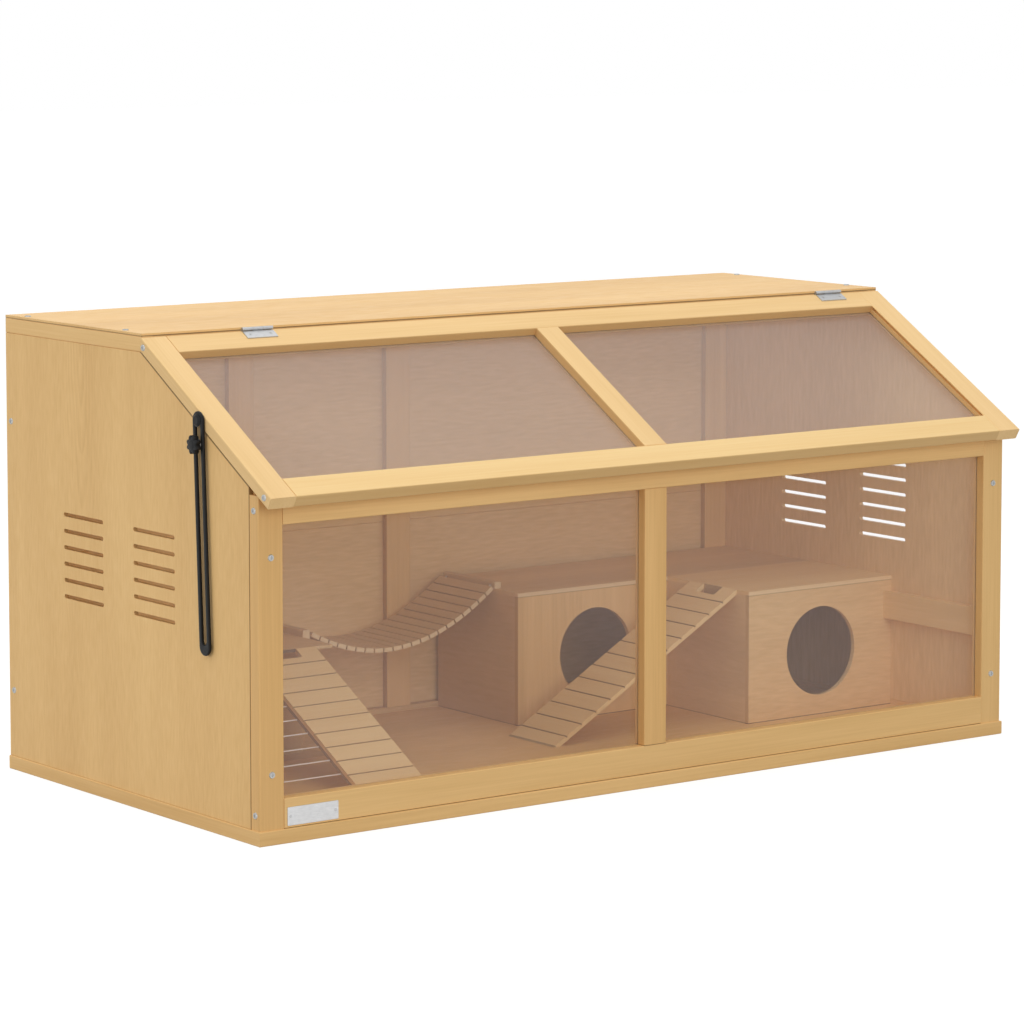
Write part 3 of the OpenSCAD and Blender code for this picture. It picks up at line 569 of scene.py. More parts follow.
# Hut faces: painted shade on the left end, a painted contact shadow along the foot and a dark joint
# line under the roof
HUT_FACE_SHADE_AND_SEAM = (End(0, SHADE, 0.25), End(2, SEAM_AND_SHADOW, 0.85, 1.0),
                 End(2, SEAM_AND_SHADOW, 0.5, 0.8, at_top=True))
ZINC = SurfaceFinish("zinc", (0.53, 0.535, 0.54), (0.45, 0.455, 0.46), (120.0, 1500.0, 1500.0),
                     (160.0,) * 3, (0.4, 0.52), bump=0.15, bump_height=0.00005,
                     cloud_detail=3.0, grain_share=0.5, cloud_share=0.5, metallic=1.0)
DULL_ZINC = replace(ZINC, name="dull_zinc", light=(0.48, 0.485, 0.475), dark=(0.38, 0.385, 0.38))
BARE_PLATE = replace(ZINC, name="bare_plate", light=(0.64, 0.645, 0.65), dark=(0.52, 0.525, 0.53),
                     roughness=(0.3, 0.46))
BLACK_PLASTIC = SurfaceFinish("black_plastic", (0.0075, 0.0077, 0.008), (0.004, 0.0041, 0.0043),
                              (900.0,) * 3, (45.0,) * 3, (0.4, 0.55), bump=0.3, specular=0.22)
WHITE_COAT = SurfaceFinish("white_coat", (1.0, 0.94, 0.87), (0.95, 0.88, 0.80), (600.0,) * 3,
                           (30.0,) * 3, (0.3, 0.42), bump=0.15)
ROPE = SurfaceFinish("rope", (0.84, 0.78, 0.66), (0.66, 0.58, 0.45), (1600.0,) * 3, (80.0,) * 3,
                     (0.75, 0.9), bump=0.6, bump_height=0.0003, specular=0.2)
# Pane hazes: the sheet's tint with painted reflection; the lid's paler haze is painted reflection
# of the sky
FRONT_ACRYLIC = AcrylicFinish("front_acrylic", (0.78, 0.69, 0.67), (0.57, 0.50, 0.48), alpha=0.1)
LID_ACRYLIC = AcrylicFinish("lid_acrylic", (0.83, 0.74, 0.68), (0.77, 0.68, 0.62), alpha=0.18)


def dress(material: Material, *nodes: str) -> None:
    """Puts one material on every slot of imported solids.

    Args:
        material: The material.
        nodes: Names of the solids.
    """
    for node in nodes:
        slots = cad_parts[node].data.materials
        for index in range(len(slots)):
            slots[index] = material


@dataclass(frozen=True)
class Board:
    """One wooden solid with its fibres' direction and its finish."""

    node: str
    grain: Grain
    finish: WoodFinish = PINE
    pith: Triple | None = None
    marks: tuple[Mark | End, ...] = ()

    def dress(self, order: int) -> None:
        """Lays the finish on the solid, with its middle at its own place from the pith's foot.

        Args:
            order: Number of the board, which draws its place from an even sequence.
        """
        low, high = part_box(self.node)
        middle = (low + high) / 2.0
        middle.rotate(self.grain.turn())
        turn = FULL_TURN * ((order * TURN_STEP) % 1.0)
        reach = PITH_NEAR + PITH_SPREAD * ((order * REACH_STEP) % 1.0)
        along = PITH_RUN * ((order * RUN_STEP) % 1.0)
        drawn = (along, reach * math.cos(turn), reach * math.sin(turn))
        shift = Vector(self.pith or drawn) - middle
        name = f"{self.finish.name}_{self.node}"
        marks = tuple(mark.on(self.node) for mark in self.marks)
        dress(self.finish.material(name, self.grain, tuple(shift), marks), self.node)
        LOG.info("dressed %s in %s", self.node, self.finish.name)


def lid_shade_mark(low: Triple, high: Triple, strength: float = 0.4) -> Mark:
    """Returns a mark of painted shade, in amber, between two corners, given along the lid's own
    slope.
    """
    return Mark(AMBER_SHADE, strength, low, high, LID_EDGE, Grain.LID)


def groove_shade_mark(reach: float, top: Triple, slope: Grain) -> Mark:
    """Paints shade on the floors of a ramp's grooves.

    Args:
        reach: Distance from the ramp's top to the end of its grooves, in millimetres.
        top: The middle of the ramp's top edge.
        slope: Direction of the ramp.

    Returns:
        A mark of painted shade just below the ramp's face.
    """
    return Mark(SHADE, 0.7, (-reach, -RAMP_HALF, GROOVE_LOW), (-RAMP_PLAIN, RAMP_HALF, GROOVE_HIGH),
                top, slope)


def dress_boards(boards: tuple[Board, ...], first: int) -> None:
    """Dresses boards, counted from a first number."""
    for order, board in enumerate(boards, first):
        board.dress(order)


def grid_faces(rows: int, columns: int, closed_rows: bool) -> Array:
    """Quads over a grid whose columns run round a closed ring.

    Args:
        rows: Rings in the grid.
        columns: Points on a ring.
        closed_rows: Whether the last ring joins the first one.

    Returns:
        Four point numbers for each quad.
    """
    index = np.arange(rows * columns).reshape(rows, columns)
    lower = index if closed_rows else index[:-1]
    upper = np.roll(index, -1, axis=0) if closed_rows else index[1:]
    ahead = [np.roll(row, -1, axis=1) for row in (lower, upper)]
    return np.stack([lower, *ahead, upper], axis=-1).reshape(-1, 4)


def surface_piece(name: str, points: Array, closed_rows: bool = False) -> Piece:
    """Makes a closed, smooth piece from rings of points, with a point at each open end.

    Args:
        name: Name of the piece.
        points: Rings of points, as rows by columns by three, in metres.
        closed_rows: Whether the last ring joins the first one.

    Returns:
        The piece, at the origin with its place in its mesh.
    """
    rows, columns, _ = points.shape
    faces = grid_faces(rows, columns, closed_rows).tolist()
    corners = points.reshape(-1, 3)
    if not closed_rows:
        ends = np.stack([points[0].mean(axis=0), points[-1].mean(axis=0)])
        corners = np.concatenate([corners, ends])
        ring = np.arange(columns)
        onward = np.roll(ring, -1)
        tip = np.full(columns, rows * columns)
        last = (rows - 1) * columns
        faces += np.stack([onward, ring, tip], axis=-1).tolist()
        faces += np.stack([ring + last, onward + last, tip + 1], axis=-1).tolist()
    mesh = bpy.data.meshes.new(name)
    mesh.from_pydata(corners.tolist(), [], faces)
    solid = bmesh.new()
    solid.from_mesh(mesh)
    bmesh.ops.recalc_face_normals(solid, faces=solid.faces)
    solid.to_mesh(mesh)
    solid.free()
    mesh.polygons.foreach_set("use_smooth", np.ones(len(mesh.polygons), dtype=bool))
    return new_object(name, mesh)


def settle(piece: Piece, body: Body, material: Material) -> None:
    """Dresses a new piece and sets it on its body.

    Args:
        piece: The piece.
        body: Body that it moves with.
        material: Its material.
    """
    piece.data.materials.append(material)
    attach(piece, body.value)
    LOG.info("built %s on %s", piece.name, body.value)


def rounded_corners(steps: int) -> tuple[Array, Array]:
    """The four corners of a rounded oblong: a quarter circle at each corner, in order round it.

    Args:
        steps: Points on each corner.

    Returns:
        Each point's corner, as signs, and its place on the circle, both as n by two.
    """
    bend = np.linspace(0.0, QUARTER, steps)
    turn = (bend[None, :] + np.arange(4)[:, None] * QUARTER).ravel()
    signs = np.repeat(np.array([[1, 1], [-1, 1], [-1, -1], [1, -1]]), steps, axis=0)
    return signs, np.stack([np.cos(turn), np.sin(turn)], axis=-1)


def full_circle(steps: int) -> Array:
    """Returns the angles of evenly spaced steps once round, without the end."""
    return np.linspace(0.0, FULL_TURN, steps, endpoint=False)


def carried(path: Array, across: Array, rise: Array, profile: Array) -> Array:
    """A profile carried along a path: path + first part times across + second part times rise.

    Args:
        path: Points of the path, as n by three.
        across: First direction at each point, as n by three, or one by three for all.
        rise: Second direction, in the same way.
        profile: The profile at each point, as n by m by two.

    Returns:
        Points as n by m by three.
    """
    return (path[:, None, :] + profile[..., :1] * across[:, None, :]
            + profile[..., 1:] * rise[:, None, :])


def lathe(radius: Array, height: Array, middle: Array, first: Array, second: Array,
          axis: Array) -> Array:
    """A surface round an axis: middle + radius on a circle of two directions + height on the axis.

    Args:
        radius: Radius as rows by columns, the columns going once round.
        height: Height as rows by columns.
        middle: Foot of the axis.
        first: Direction of the circle's start.
        second: Direction a quarter turn on.
        axis: Direction of the axis.

    Returns:
        Points as rows by columns by three.
    """
    turn = full_circle(radius.shape[1])[None, :, None]
    ring = np.cos(turn) * first + np.sin(turn) * second
    return middle + radius[..., None] * ring + height[..., None] * axis


@dataclass
class Carcass:
    """The base, floor, walls, battens and roof."""

    first: int = 1
    boards: tuple[Board, ...] = (
        Board("base_front_board", Grain.X),
        # Painted shade: a darker copy of pine
        Board("base_back_board", Grain.X, SHADED_PINE),
        Board("base_left_board", Grain.Y),
        Board("base_right_board", Grain.Y),
        # Painted shadow on the floor under the platform
        Board("floor_board", Grain.X, VENEER, marks=(
            Mark(SHADE, 0.35, (-568.0, 75.0, 9.0), (-231.0, 270.0, 11.0)),)),
        # Left panel: painted shade in the vent slots, a dark joint line at the front stile, a
        # painted shadow line under the lid's overhang, and a dark line with painted contact shadow
        # along the foot
        Board("left_side_panel", Grain.Z, FIGURED, (-0.25, -0.095, 0.0), (
            Mark(SHADE, 0.5, (-572.7, -110.0, 225.0), (-567.3, 155.0, 343.0)),
            Mark(SEAM_AND_SHADOW, 0.6, (-574.0, -264.5, 17.0), (-566.0, -263.1, 420.0)),
            Mark(SEAM_AND_SHADOW, 0.7, (-300.0, -600.0, -1.3), (5.0, 600.0, 0.4), PANEL_EDGE, Grain.LID),
            End(2, SEAM_AND_SHADOW, 0.35, 0.7))),
        Board("right_side_panel", Grain.Z, PALE_VENEER, (0.9, -0.06, 0.018)),
        # Painted shade on the back panel under the platform
        Board("back_lower_panel", Grain.X, PALE_VENEER, (1.3, 0.05, 0.04), (
            Mark(SHADE, 0.5, (-568.0, 270.0, 10.0), (-231.0, 280.0, 147.0)),)),
        Board("back_upper_panel", Grain.X, PALE_VENEER, (2.2, 0.06, -0.05)),
        Board("back_left_post", Grain.Z),
        # Painted shade on the battens' left side faces
        *(Board(node, Grain.Z, marks=(End(0, SHADE, 0.45),))
          for node in ("back_right_post", "back_middle_batten", "back_side_batten")),
        Board("roof_left_rail", Grain.Y),
        Board("roof_right_rail", Grain.Y),
        Board("roof_front_rail", Grain.X),
        Board("roof_back_rail", Grain.X),
        # Painted shadow lines in the gap under the lid, along the roof's front and left edges
        Board("roof_board", Grain.X, VENEER, (0.6, 0.12, 0.05),
              (Mark(SEAM_AND_SHADOW, 0.75, (-574.0, -35.4, 563.0), (574.0, -34.6, 564.6)),
               Mark(SEAM_AND_SHADOW, 0.6, (-573.4, -35.4, 563.0), (-572.6, 285.4, 564.5)))),
    )

    def build(self) -> None:
        """Dresses the boards."""
        dress_boards(self.boards, self.first)


@dataclass
class GlazedFront:
    """The front frame with its panes, and a bare metal plate on the bottom rail."""

    first: int = 20
    boards: tuple[Board, ...] = (
        Board("front_left_stile", Grain.Z, WARM_PINE),
        Board("front_right_stile", Grain.Z),
        # A painted contact shadow at the middle stile's foot, and a dark line along the bottom
        # rail's foot
        Board("front_middle_stile", Grain.Z, WARM_PINE, marks=(End(2, SEAM_AND_SHADOW, 0.65, 0.8),)),
        Board("front_bottom_rail", Grain.X, marks=(End(2, SEAM_AND_SHADOW, 0.7, 0.8),)),
        Board("front_top_rail", Grain.X),
    )
    panes: tuple[str, ...] = ("front_left_pane", "front_right_pane")
    plate_x: float = -501.0 * MM
    plate_z: float = 30.6 * MM
    plate_w: float = 70.0 * MM
    plate_h: float = 21.5 * MM
    plate_t: float = 0.8 * MM
    plate_corner: float = 1.2 * MM
    plate_rim: float = 0.35 * MM
    corner_steps: int = 9
    rim_steps: int = 6
    screw_inset: float = 4.0 * MM
    screw_r: float = 1.7 * MM
    screw_h: float = 0.7 * MM
    screw_turn: float = 0.4
    screw_eye: float = 0.04
    screw_dome: float = 0.98
    screw_rows: int = 26
    screw_sides: int = 64
    recess_w: float = 0.35 * MM
    recess_depth: float = 0.3 * MM
    recess_reach: float = 0.75
    recess_steepness: float = 8.0

    def face_y(self) -> float:
        """Returns the depth of the bottom rail's face."""
        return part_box("front_bottom_rail")[0].y

    def plate(self) -> Piece:
        """A thin plate: its rounded outline, drawn in by rings and raised over a quarter-round rim.

        Returns:
            The plate.
        """
        signs, ring = rounded_corners(self.corner_steps)
        heart = signs * (np.array([self.plate_w, self.plate_h]) / 2.0 - self.plate_corner)
        bend = np.linspace(0.0, QUARTER, self.rim_steps)
        inset = np.concatenate([[0.0], self.plate_rim * (1.0 - np.cos(bend))])
        rise = np.concatenate([[0.0], self.plate_t - self.plate_rim * (1.0 - np.sin(bend))])
        flat = heart[None] + (self.plate_corner - inset)[:, None, None] * ring[None]
        flat = np.concatenate([flat[:1] * INNER_RING, flat, flat[-1:] * INNER_RING])
        rise = np.concatenate([[0.0], rise, rise[-1:]])
        points = np.stack([self.plate_x + flat[..., 0],
                           self.face_y() - np.broadcast_to(rise[:, None], flat.shape[:2]),
                           self.plate_z + flat[..., 1]], axis=-1)
        return surface_piece("bare_plate", points)

    def plate_screw(self, name: str, x: float) -> Piece:
        """A round head: an arc for its height, less a cross of two narrow bells for the recess.

        Args:
            name: Name of the piece.
            x: Place of the screw along the plate.

        Returns:
            The screw's head.
        """
        share = np.linspace(1.0, self.screw_eye, self.screw_rows)[:, None]
        turn = full_circle(self.screw_sides)[None, :]
        radius = np.broadcast_to(share * self.screw_r, (share.size, turn.size))
        height = self.screw_h * np.sqrt(1.0 - self.screw_dome * share ** 2) * np.ones_like(turn)
        across, up = (radius * wave(turn + self.screw_turn) for wave in (np.cos, np.sin))
        bells = [np.exp(-(off / self.recess_w) ** 2) for off in (across, up)]
        fade = np.clip((self.recess_reach - share) * self.recess_steepness, 0.0, 1.0)
        height = height - self.recess_depth * np.maximum(*bells) * fade
        skirt = np.zeros_like(height[:1])
        radius = np.concatenate([radius[:1] * INNER_RING, radius[:1], radius])
        height = np.concatenate([skirt, skirt, height])
        foot = np.array([x, self.face_y() - self.plate_t, self.plate_z])
        return surface_piece(name, lathe(radius, height, foot, RIGHT, UP, -BACK))

    def build(self) -> None:
        """Dresses the frame and the panes, and builds the plate with its screws."""
        dress_boards(self.boards, self.first)
        dress(FRONT_ACRYLIC.material(), *self.panes)
        settle(self.plate(), Body.CABINET, BARE_PLATE.material())
        steel = ZINC.material()
        reach = self.plate_w / 2.0 - self.screw_inset
        for side, name in ((-1.0, "plate_screw_left"), (1.0, "plate_screw_right")):
            screw = self.plate_screw(name, self.plate_x + side * reach)
            settle(screw, Body.CABINET, steel)


@dataclass
class GlazedLid:
    """The sloping lid with its panes, hinges and screws."""

    first: int = 30
    boards: tuple[Board, ...] = (
        # Paler copies of pine for painted top light, with painted shade on inner and left side
        # faces and on the bottom rail's front face
        Board("lid_left_stile", Grain.LID, PALE_PINE),
        Board("lid_right_stile", Grain.LID, PALE_PINE, marks=(
            lid_shade_mark((-286.0, -540.6, -16.0), (-35.0, -539.4, -0.3)),)),
        Board("lid_top_rail", Grain.X, PALE_PINE, marks=(
            lid_shade_mark((-35.6, -541.0, -16.0), (-34.4, 541.0, -0.3)),)),
        Board("lid_bottom_rail", Grain.X, TOPLIT_PINE, marks=(
            lid_shade_mark((-321.6, -600.0, -16.0), (-320.4, 600.0, 1.0), 0.36),)),
        Board("lid_middle_bar", Grain.LID, PALE_PINE, marks=(
            lid_shade_mark((-286.0, 16.0, -16.0), (-35.0, 18.0, -0.3)),)),
    )
    panes: tuple[str, ...] = ("lid_left_pane", "lid_right_pane")
    hinges: tuple[str, ...] = ("hinge_roof_leaves", "hinge_lid_leaves", "hinge_pins")
    screws: tuple[str, ...] = ("hinge_roof_screws", "hinge_lid_screws", "lid_screws",
                               "cabinet_screws")

    def build(self) -> None:
        """Dresses the lid, its hinges, and the screws of the lid and the cabinet."""
        dress_boards(self.boards, self.first)
        dress(LID_ACRYLIC.material(), *self.panes)
        dress(ZINC.material(), *self.hinges)
        dress(DULL_ZINC.material(), *self.screws)


@dataclass
class LidStay:
    """The slotted stay on the lid's left side, with its star knob."""

    pivot: Span = (-165.584 * MM, 477.158 * MM)
    tilt: float = math.radians(2.54)
    arm_x: float = -577.5 * MM
    arm_t: float = 4.0 * MM
    slot_len: float = 254.4 * MM
    slot_w: float = 10.0 * MM
    bar_w: float = 5.5 * MM
    web: float = 12.5 * MM
    edge_r: float = 1.5 * MM
    end_steps: int = 33
    side_steps: int = 40
    edge_steps: int = 6
    bolt_at: float = 27.6 * MM
    knob_x: float = -581.3 * MM
    lobe_h: float = 3.0 * MM
    lobe_power: float = 0.7
    lobes: int = 8
    knob_sides: int = 128
    knob_rows: tuple[Triple, ...] = (
        (3.05, 0.0, 5.0), (3.05, 0.0, 0.4), (3.4, 0.0, 0.0), (7.4, 0.82, 0.0), (8.15, 0.96, 0.3),
        (8.5, 1.0, 1.0), (8.5, 1.0, 5.4), (8.35, 0.97, 6.2), (7.9, 0.85, 6.9), (7.2, 0.6, 7.3),
        (6.3, 0.25, 7.45), (5.4, 0.0, 7.45), (5.1, 0.0, 7.8), (4.6, 0.0, 8.0), (1.5, 0.0, 8.0),
    )

    def down(self) -> Array:
        """Returns the direction down the slot."""
        return np.array([0.0, -math.sin(self.tilt), -math.cos(self.tilt)])

    def forth(self) -> Array:
        """Returns the direction across the slot, to the back."""
        return np.array([0.0, math.cos(self.tilt), -math.sin(self.tilt)])

    def loop(self, half: float, length: float) -> Array:
        """A loop with two straight sides and round ends, as distances down and across the slot.

        Args:
            half: Half the loop's width.
            length: Distance between the middles of its round ends.

        Returns:
            Points once round the loop, as n by two.
        """
        bend = np.linspace(0.0, np.pi, self.end_steps)
        side = np.linspace(0.0, 1.0, self.side_steps)[1:-1]
        lower = np.stack([length + half * np.sin(bend), half * np.cos(bend)], axis=-1)
        upper = np.stack([-half * np.sin(bend), -half * np.cos(bend)], axis=-1)
        back = np.stack([length * side, np.full_like(side, half)], axis=-1)
        front = np.stack([length * (1.0 - side), np.full_like(side, -half)], axis=-1)
        return np.concatenate([back, lower, front, upper])

    def arm(self) -> Piece:
        """The stay: a rounded bar carried round the loop, from the slot's edge to the outer edge.

        The outer edge is longer than the slot by the web less the bar, which fills the lower end.

        Returns:
            The stay.
        """
        inner = self.loop(self.slot_w / 2.0, self.slot_len)
        outer = self.loop(self.slot_w / 2.0 + self.bar_w, self.slot_len + self.web - self.bar_w)
        middle = (inner + outer) / 2.0
        width = np.linalg.norm(outer - inner, axis=1)
        out = (outer - inner) / width[:, None]
        frame_of = np.stack([self.down(), self.forth()])
        foot = np.array([self.arm_x, *self.pivot])
        signs, ring = rounded_corners(self.edge_steps)
        thick = np.full_like(width, self.arm_t)
        heart = np.stack([width, thick], axis=-1) / 2.0 - self.edge_r
        profile = signs[None] * heart[:, None] + self.edge_r * ring[None]
        points = carried(foot + middle @ frame_of, out @ frame_of, -RIGHT[None], profile)
        return surface_piece("slotted_stay", points, closed_rows=True)

    def knob(self) -> Piece:
        """The star knob: core radius plus lobes, which rise and fall with a power of a cosine.

        Each row gives the core's radius, the share of the lobes and the height, from the bore's
        floor to the front.

        Returns:
            The knob, with its bore behind and a low boss in front.
        """
        rows = np.array(self.knob_rows)
        wave = 0.5 + 0.5 * np.cos(self.lobes * full_circle(self.knob_sides) - np.pi)
        lobe = wave ** self.lobe_power
        radius = MM * rows[:, :1] + self.lobe_h * rows[:, 1:2] * lobe[None]
        height = MM * rows[:, 2:] * np.ones_like(lobe)[None]
        foot = np.array([self.knob_x, *self.pivot]) + self.bolt_at * self.down()
        points = lathe(radius, height, foot, self.down(), self.forth(), -RIGHT)
        return surface_piece("moulded_star_knob", points)

    def build(self) -> None:
        """Builds the stay and the knob, and dresses the bolt and the pivot screw."""
        plastic = BLACK_PLASTIC.material()
        arm = self.arm()
        settle(arm, Body.STAY, plastic)
        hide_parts("stay_arm")
        knob = self.knob()
        settle(knob, Body.KNOB, plastic)
        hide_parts("star_knob")
        dress(plastic, "stay_pivot_screw")
        dress(ZINC.material(), "stay_bolt")


@dataclass
class Fittings:
    """The platform, ramps and huts on the floor."""

    first: int = 40
    boards: tuple[Board, ...] = (
        # Painted shade on the platform's front edge behind the left ramp's notch
        Board("platform_board", Grain.X, GREY_VENEER, marks=(
            Mark(SEAM_AND_SHADOW, 0.9, (-324.0, 74.0, 145.0), (-286.0, 75.4, 151.0)),)),
        # Painted shade under the platform: a darker copy of pine
        Board("platform_legs", Grain.Z, SHADED_PINE),
        # Painted shade in the grooves, and a much darker copy of pine for painted shade on the
        # stringers
        Board("left_ramp_board", Grain.X, RAMP_WOOD, marks=(
            groove_shade_mark(289.0, LEFT_RAMP_TOP, Grain.LEFT_RAMP),)),
        Board("left_ramp_stringers", Grain.LEFT_RAMP, DEEP_SHADE_PINE),
        # Painted shade in the grooves and a painted contact shadow at the foot
        Board("right_ramp_board", Grain.Y, RAMP_WOOD, marks=(
            groove_shade_mark(342.0, RIGHT_RAMP_TOP, Grain.RIGHT_RAMP),
            Mark(SEAM_AND_SHADOW, 0.55, (-350.0, -60.0, -12.0), (-343.0, 60.0, 1.0), RIGHT_RAMP_TOP,
                 Grain.RIGHT_RAMP))),
        Board("front_hut_face", Grain.X, PALE_VENEER, marks=HUT_FACE_SHADE_AND_SEAM),
        # Painted shade behind the right ramp's notch and a painted contact shadow along the foot
        Board("front_hut_side", Grain.Y, GREY_VENEER, marks=(
            Mark(SEAM_AND_SHADOW, 0.5, (318.0, -24.0, 160.0), (319.6, 14.0, 185.0)),
            End(2, SEAM_AND_SHADOW, 0.5, 1.0))),
        # A painted highlight on the front edge and painted shade on the left edge behind the ramp's
        # notch
        Board("front_hut_roof", Grain.X, RAMP_WOOD, marks=(
            End(1, PAINTED_HIGHLIGHT, 0.4),
            Mark(SEAM_AND_SHADOW, 0.5, (318.0, -24.0, 178.0), (319.6, 14.0, 185.0)))),
        Board("rear_hut_face", Grain.Z, STAVED, marks=HUT_FACE_SHADE_AND_SEAM),
        # A darker copy of the veneer for painted shade, and a painted contact shadow along the foot
        Board("rear_hut_side", Grain.Y, SHADED_VENEER, marks=(End(2, SEAM_AND_SHADOW, 0.5, 1.0),)),
        # A painted highlight on the roof's front edge
        Board("rear_hut_roof", Grain.X, GREY_VENEER, marks=(End(1, PAINTED_HIGHLIGHT, 0.4),)),
        Board("wall_rail", Grain.Y, PALE_PINE),
    )

    def build(self) -> None:
        """Dresses the fittings and the coated rungs."""
        dress_boards(self.boards, self.first)
        dress(WHITE_COAT.material(), "left_ramp_rungs")


@dataclass
class HangingBridge:
    """The slats and end blocks, and the two twisted ropes that carry them."""

    first: int = 60
    boards: tuple[Board, ...] = (
        # Painted highlights on the front ends of the slats and blocks
        Board("bridge_slats", Grain.Y, GREY_PINE, marks=(End(1, PAINTED_HIGHLIGHT, 0.6),)),
        Board("bridge_end_blocks", Grain.Y, GREY_PINE, marks=(End(1, PAINTED_HIGHLIGHT, 0.5),)),
    )
    start: Span = (-220.5 * MM, 154.25 * MM)
    end: Span = (70.0 * MM, 188.25 * MM)
    sag: float = 49.0 * MM
    rope_ys: Span = (151.0 * MM, 249.0 * MM)
    rope_r: float = 1.2 * MM
    strand_at: float = 0.536
    strand_r: float = 0.464
    rope_core: float = 0.62
    lay: float = 8.0 * MM
    rings: int = 400
    sides: int = 30

    def rope(self, name: str, y: float) -> Piece:
        """A three-strand rope: a ring of three round strands, turned along a parabola.

        The path falls below the line between the ends by four sags times u times (1 - u). The
        ring's radius is the far side of the strand that lies nearest in angle.

        Args:
            name: Name of the piece.
            y: Depth at which the rope hangs.

        Returns:
            The rope.
        """
        share = np.linspace(0.0, 1.0, self.rings)
        run, rise = self.end[0] - self.start[0], self.end[1] - self.start[1]
        height = self.start[1] + rise * share - 4.0 * self.sag * share * (1.0 - share)
        path = np.stack([self.start[0] + run * share, np.full_like(share, y), height], axis=-1)
        slope = (rise - 4.0 * self.sag * (1.0 - 2.0 * share)) / run
        slope[[0, -1]] = 0.0
        up = np.stack([-slope, np.zeros_like(slope), np.ones_like(slope)], axis=-1)
        up /= np.linalg.norm(up, axis=1)[:, None]
        steps = np.linalg.norm(np.diff(path, axis=0), axis=1)
        length = np.concatenate([[0.0], np.cumsum(steps)])
        turn = full_circle(self.sides)[None, :]
        third = FULL_TURN / 3.0
        laid = turn - FULL_TURN * length[:, None] / self.lay
        angle = np.mod(laid + third / 2.0, third) - third / 2.0
        reach, strand = self.strand_at * self.rope_r, self.strand_r * self.rope_r
        bulge = np.sqrt(np.maximum(strand ** 2 - (reach * np.sin(angle)) ** 2, 0.0))
        radius = np.maximum(reach * np.cos(angle) + bulge, self.rope_core * self.rope_r)
        profile = np.stack([radius * np.cos(turn), radius * np.sin(turn)], axis=-1)
        return surface_piece(name, carried(path, BACK[None], up, profile))

    def build(self) -> None:
        """Dresses the wood and builds the ropes in place of the plain cords."""
        dress_boards(self.boards, self.first)
        hemp = ROPE.material()
        for name, y in zip(("bridge_rope_front", "bridge_rope_back"), self.rope_ys):
            rope = self.rope(name, y)
            settle(rope, Body.CABINET, hemp)
            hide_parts("bridge_cords")


@dataclass(frozen=True)
class Lamp:
    """A wide soft square lamp that points at the middle of the object."""

    name: str
    at: Triple
    size: float
    power: float
    aim: Triple = (0.0, 0.0, 0.3)

    def build(self) -> None:
        """Adds the lamp to the scene."""
        data = bpy.data.lights.new(self.name, "AREA")
        data.shape = "SQUARE"
        data.size = self.size
        data.energy = self.power
        lamp = new_object(self.name, data)
        lamp.location = self.at
        way = Vector(self.aim) - lamp.location
        lamp.rotation_euler = way.to_track_quat("-Z", "Y").to_euler()


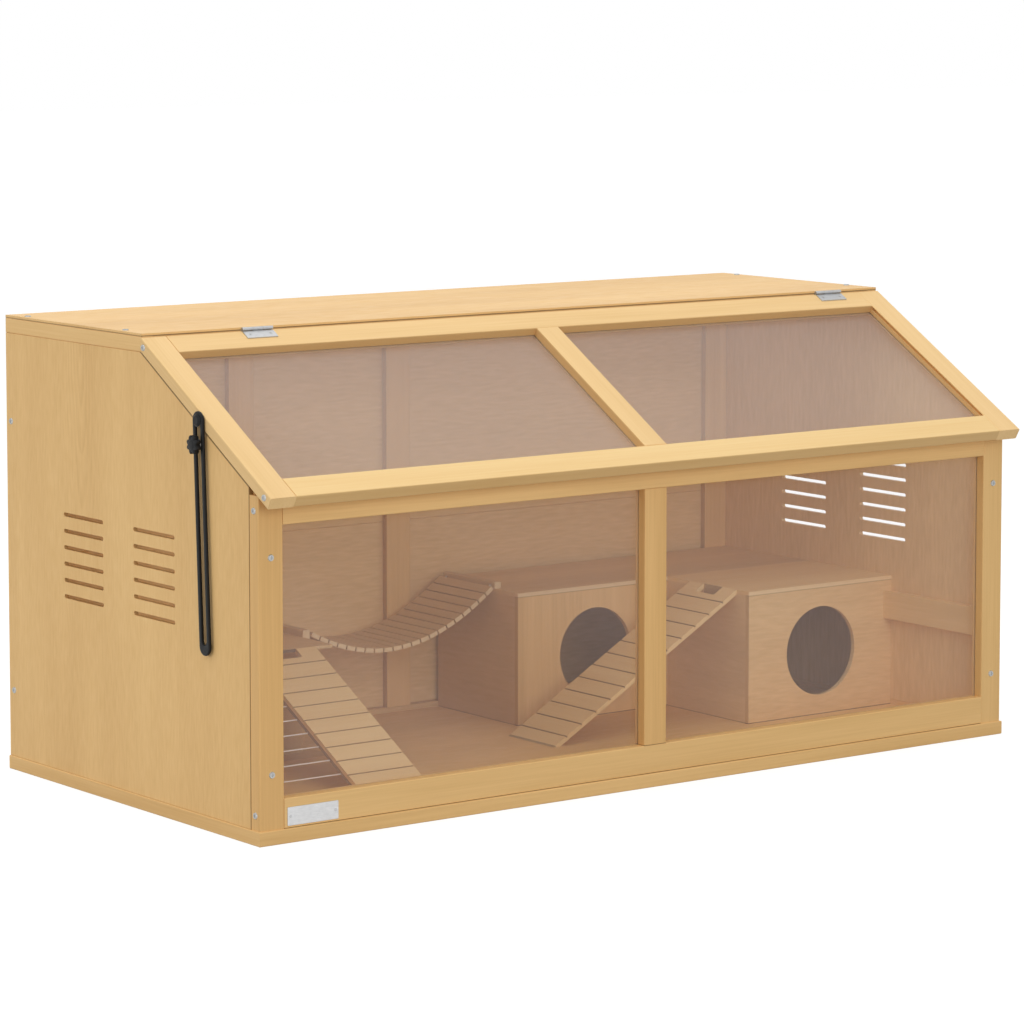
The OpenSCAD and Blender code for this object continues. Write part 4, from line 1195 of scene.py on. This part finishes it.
@dataclass
class Studio:
    """The camera, the even white surround, three soft lamps and a pale floor."""

    camera_at: Triple = (-3.0488, -4.0947, 0.9987)
    camera_yaw: float = 36.607
    camera_pitch: float = 5.558
    camera_shift: float = -0.15
    lens: float = 142.91
    sensor: float = 36.0
    clip_end: float = 200.0
    sky: float = 0.6
    lamps: tuple[Lamp, ...] = (
        Lamp("overhead", (-0.2, 0.2, 3.2), 3.0, 29.0),
        Lamp("key", (-1.0, -4.6, 1.6), 2.4, 47.0),
        Lamp("fill", (-4.6, 0.3, 1.4), 2.0, 28.0),
    )
    floor_size: float = 40.0
    floor_lines: int = 9
    floor_tone: float = 0.45
    floor_change: float = 0.01
    floor_rate: Triple = (9.0, 9.0, 9.0)
    floor_glow: float = 0.74
    rays: tuple[Ray, ...] = (Ray.CAMERA, Ray.GLOSSY, Ray.TRANSMISSION)

    def seen(self, graph: ShaderGraph) -> Socket:
        """Adds a switch that is 1 for the rays that see the backdrop.

        Args:
            graph: Graph of the floor or of the world.

        Returns:
            The switch.
        """
        path = graph.node("ShaderNodeLightPath")
        switch = path.outputs[self.rays[0].value]
        for ray in self.rays[1:]:
            switch = graph.math("MAXIMUM", switch, path.outputs[ray.value])
        return switch

    def camera(self) -> None:
        """Sets the camera at the photograph's place."""
        data = bpy.data.cameras.new("camera")
        data.lens = self.lens
        data.sensor_width = self.sensor
        data.shift_y = self.camera_shift
        data.clip_end = self.clip_end
        camera = new_object("camera", data)
        camera.location = self.camera_at
        camera.rotation_euler = (math.radians(90.0 - self.camera_pitch), 0.0,
                                 math.radians(-self.camera_yaw))
        bpy.context.scene.camera = camera

    def world(self) -> None:
        """An even sky, white where the camera and reflections see it."""
        world = bpy.data.worlds.new("surround")
        world.use_nodes = True
        graph = ShaderGraph(world.node_tree)
        strength = graph.spread(self.seen(graph), RISING, (self.sky, 1.0))
        light = graph.node("ShaderNodeBackground", {"Color": (1.0, 1.0, 1.0), "Strength": strength})
        graph.surface(light.outputs[0], "ShaderNodeOutputWorld")
        bpy.context.scene.world = world

    def floor(self) -> None:
        """A pale floor that keeps the shadow and reads white where it is fully lit."""
        side = np.linspace(-0.5, 0.5, self.floor_lines) * self.floor_size
        x, y = np.meshgrid(side, side, indexing="ij")
        index = np.arange(x.size).reshape(x.shape)
        quads = np.stack([index[:-1, :-1], index[1:, :-1], index[1:, 1:], index[:-1, 1:]], axis=-1)
        mesh = bpy.data.meshes.new("floor")
        mesh.from_pydata(np.stack([x, y, np.zeros_like(x)], axis=-1).reshape(-1, 3).tolist(), [],
                         quads.reshape(-1, 4).tolist())
        material, graph = new_material("pale_floor")
        tones = (self.floor_tone * (1.0 - self.floor_change),
                 self.floor_tone * (1.0 + self.floor_change))
        tone = graph.spread(graph.noise(graph.place(), self.floor_rate), RISING, tones)
        matt = graph.node("ShaderNodeBsdfDiffuse", {"Color": tone})
        strength = graph.math("MULTIPLY", self.seen(graph), self.floor_glow)
        glow = graph.node("ShaderNodeEmission", {"Strength": strength})
        both = graph.node("ShaderNodeAddShader", {0: matt.outputs[0], 1: glow.outputs[0]})
        graph.surface(both.outputs[0])
        mesh.materials.append(material)
        floor = new_object("floor", mesh)

    def build(self) -> None:
        """Sets up the camera, the light and the floor."""
        self.camera()
        self.world()
        for lamp in self.lamps:
            lamp.build()
        self.floor()
        bpy.context.scene.view_settings.view_transform = "Standard"
        LOG.info("set the studio")


def main() -> None:
    """Builds the studio and each sub-assembly in order."""
    logging.basicConfig(level=logging.INFO, format="%(name)s: %(message)s")
    for part in (Studio, Carcass, GlazedFront, GlazedLid, LidStay, Fittings, HangingBridge):
        part().build()


if __name__ == "__main__":
    main()
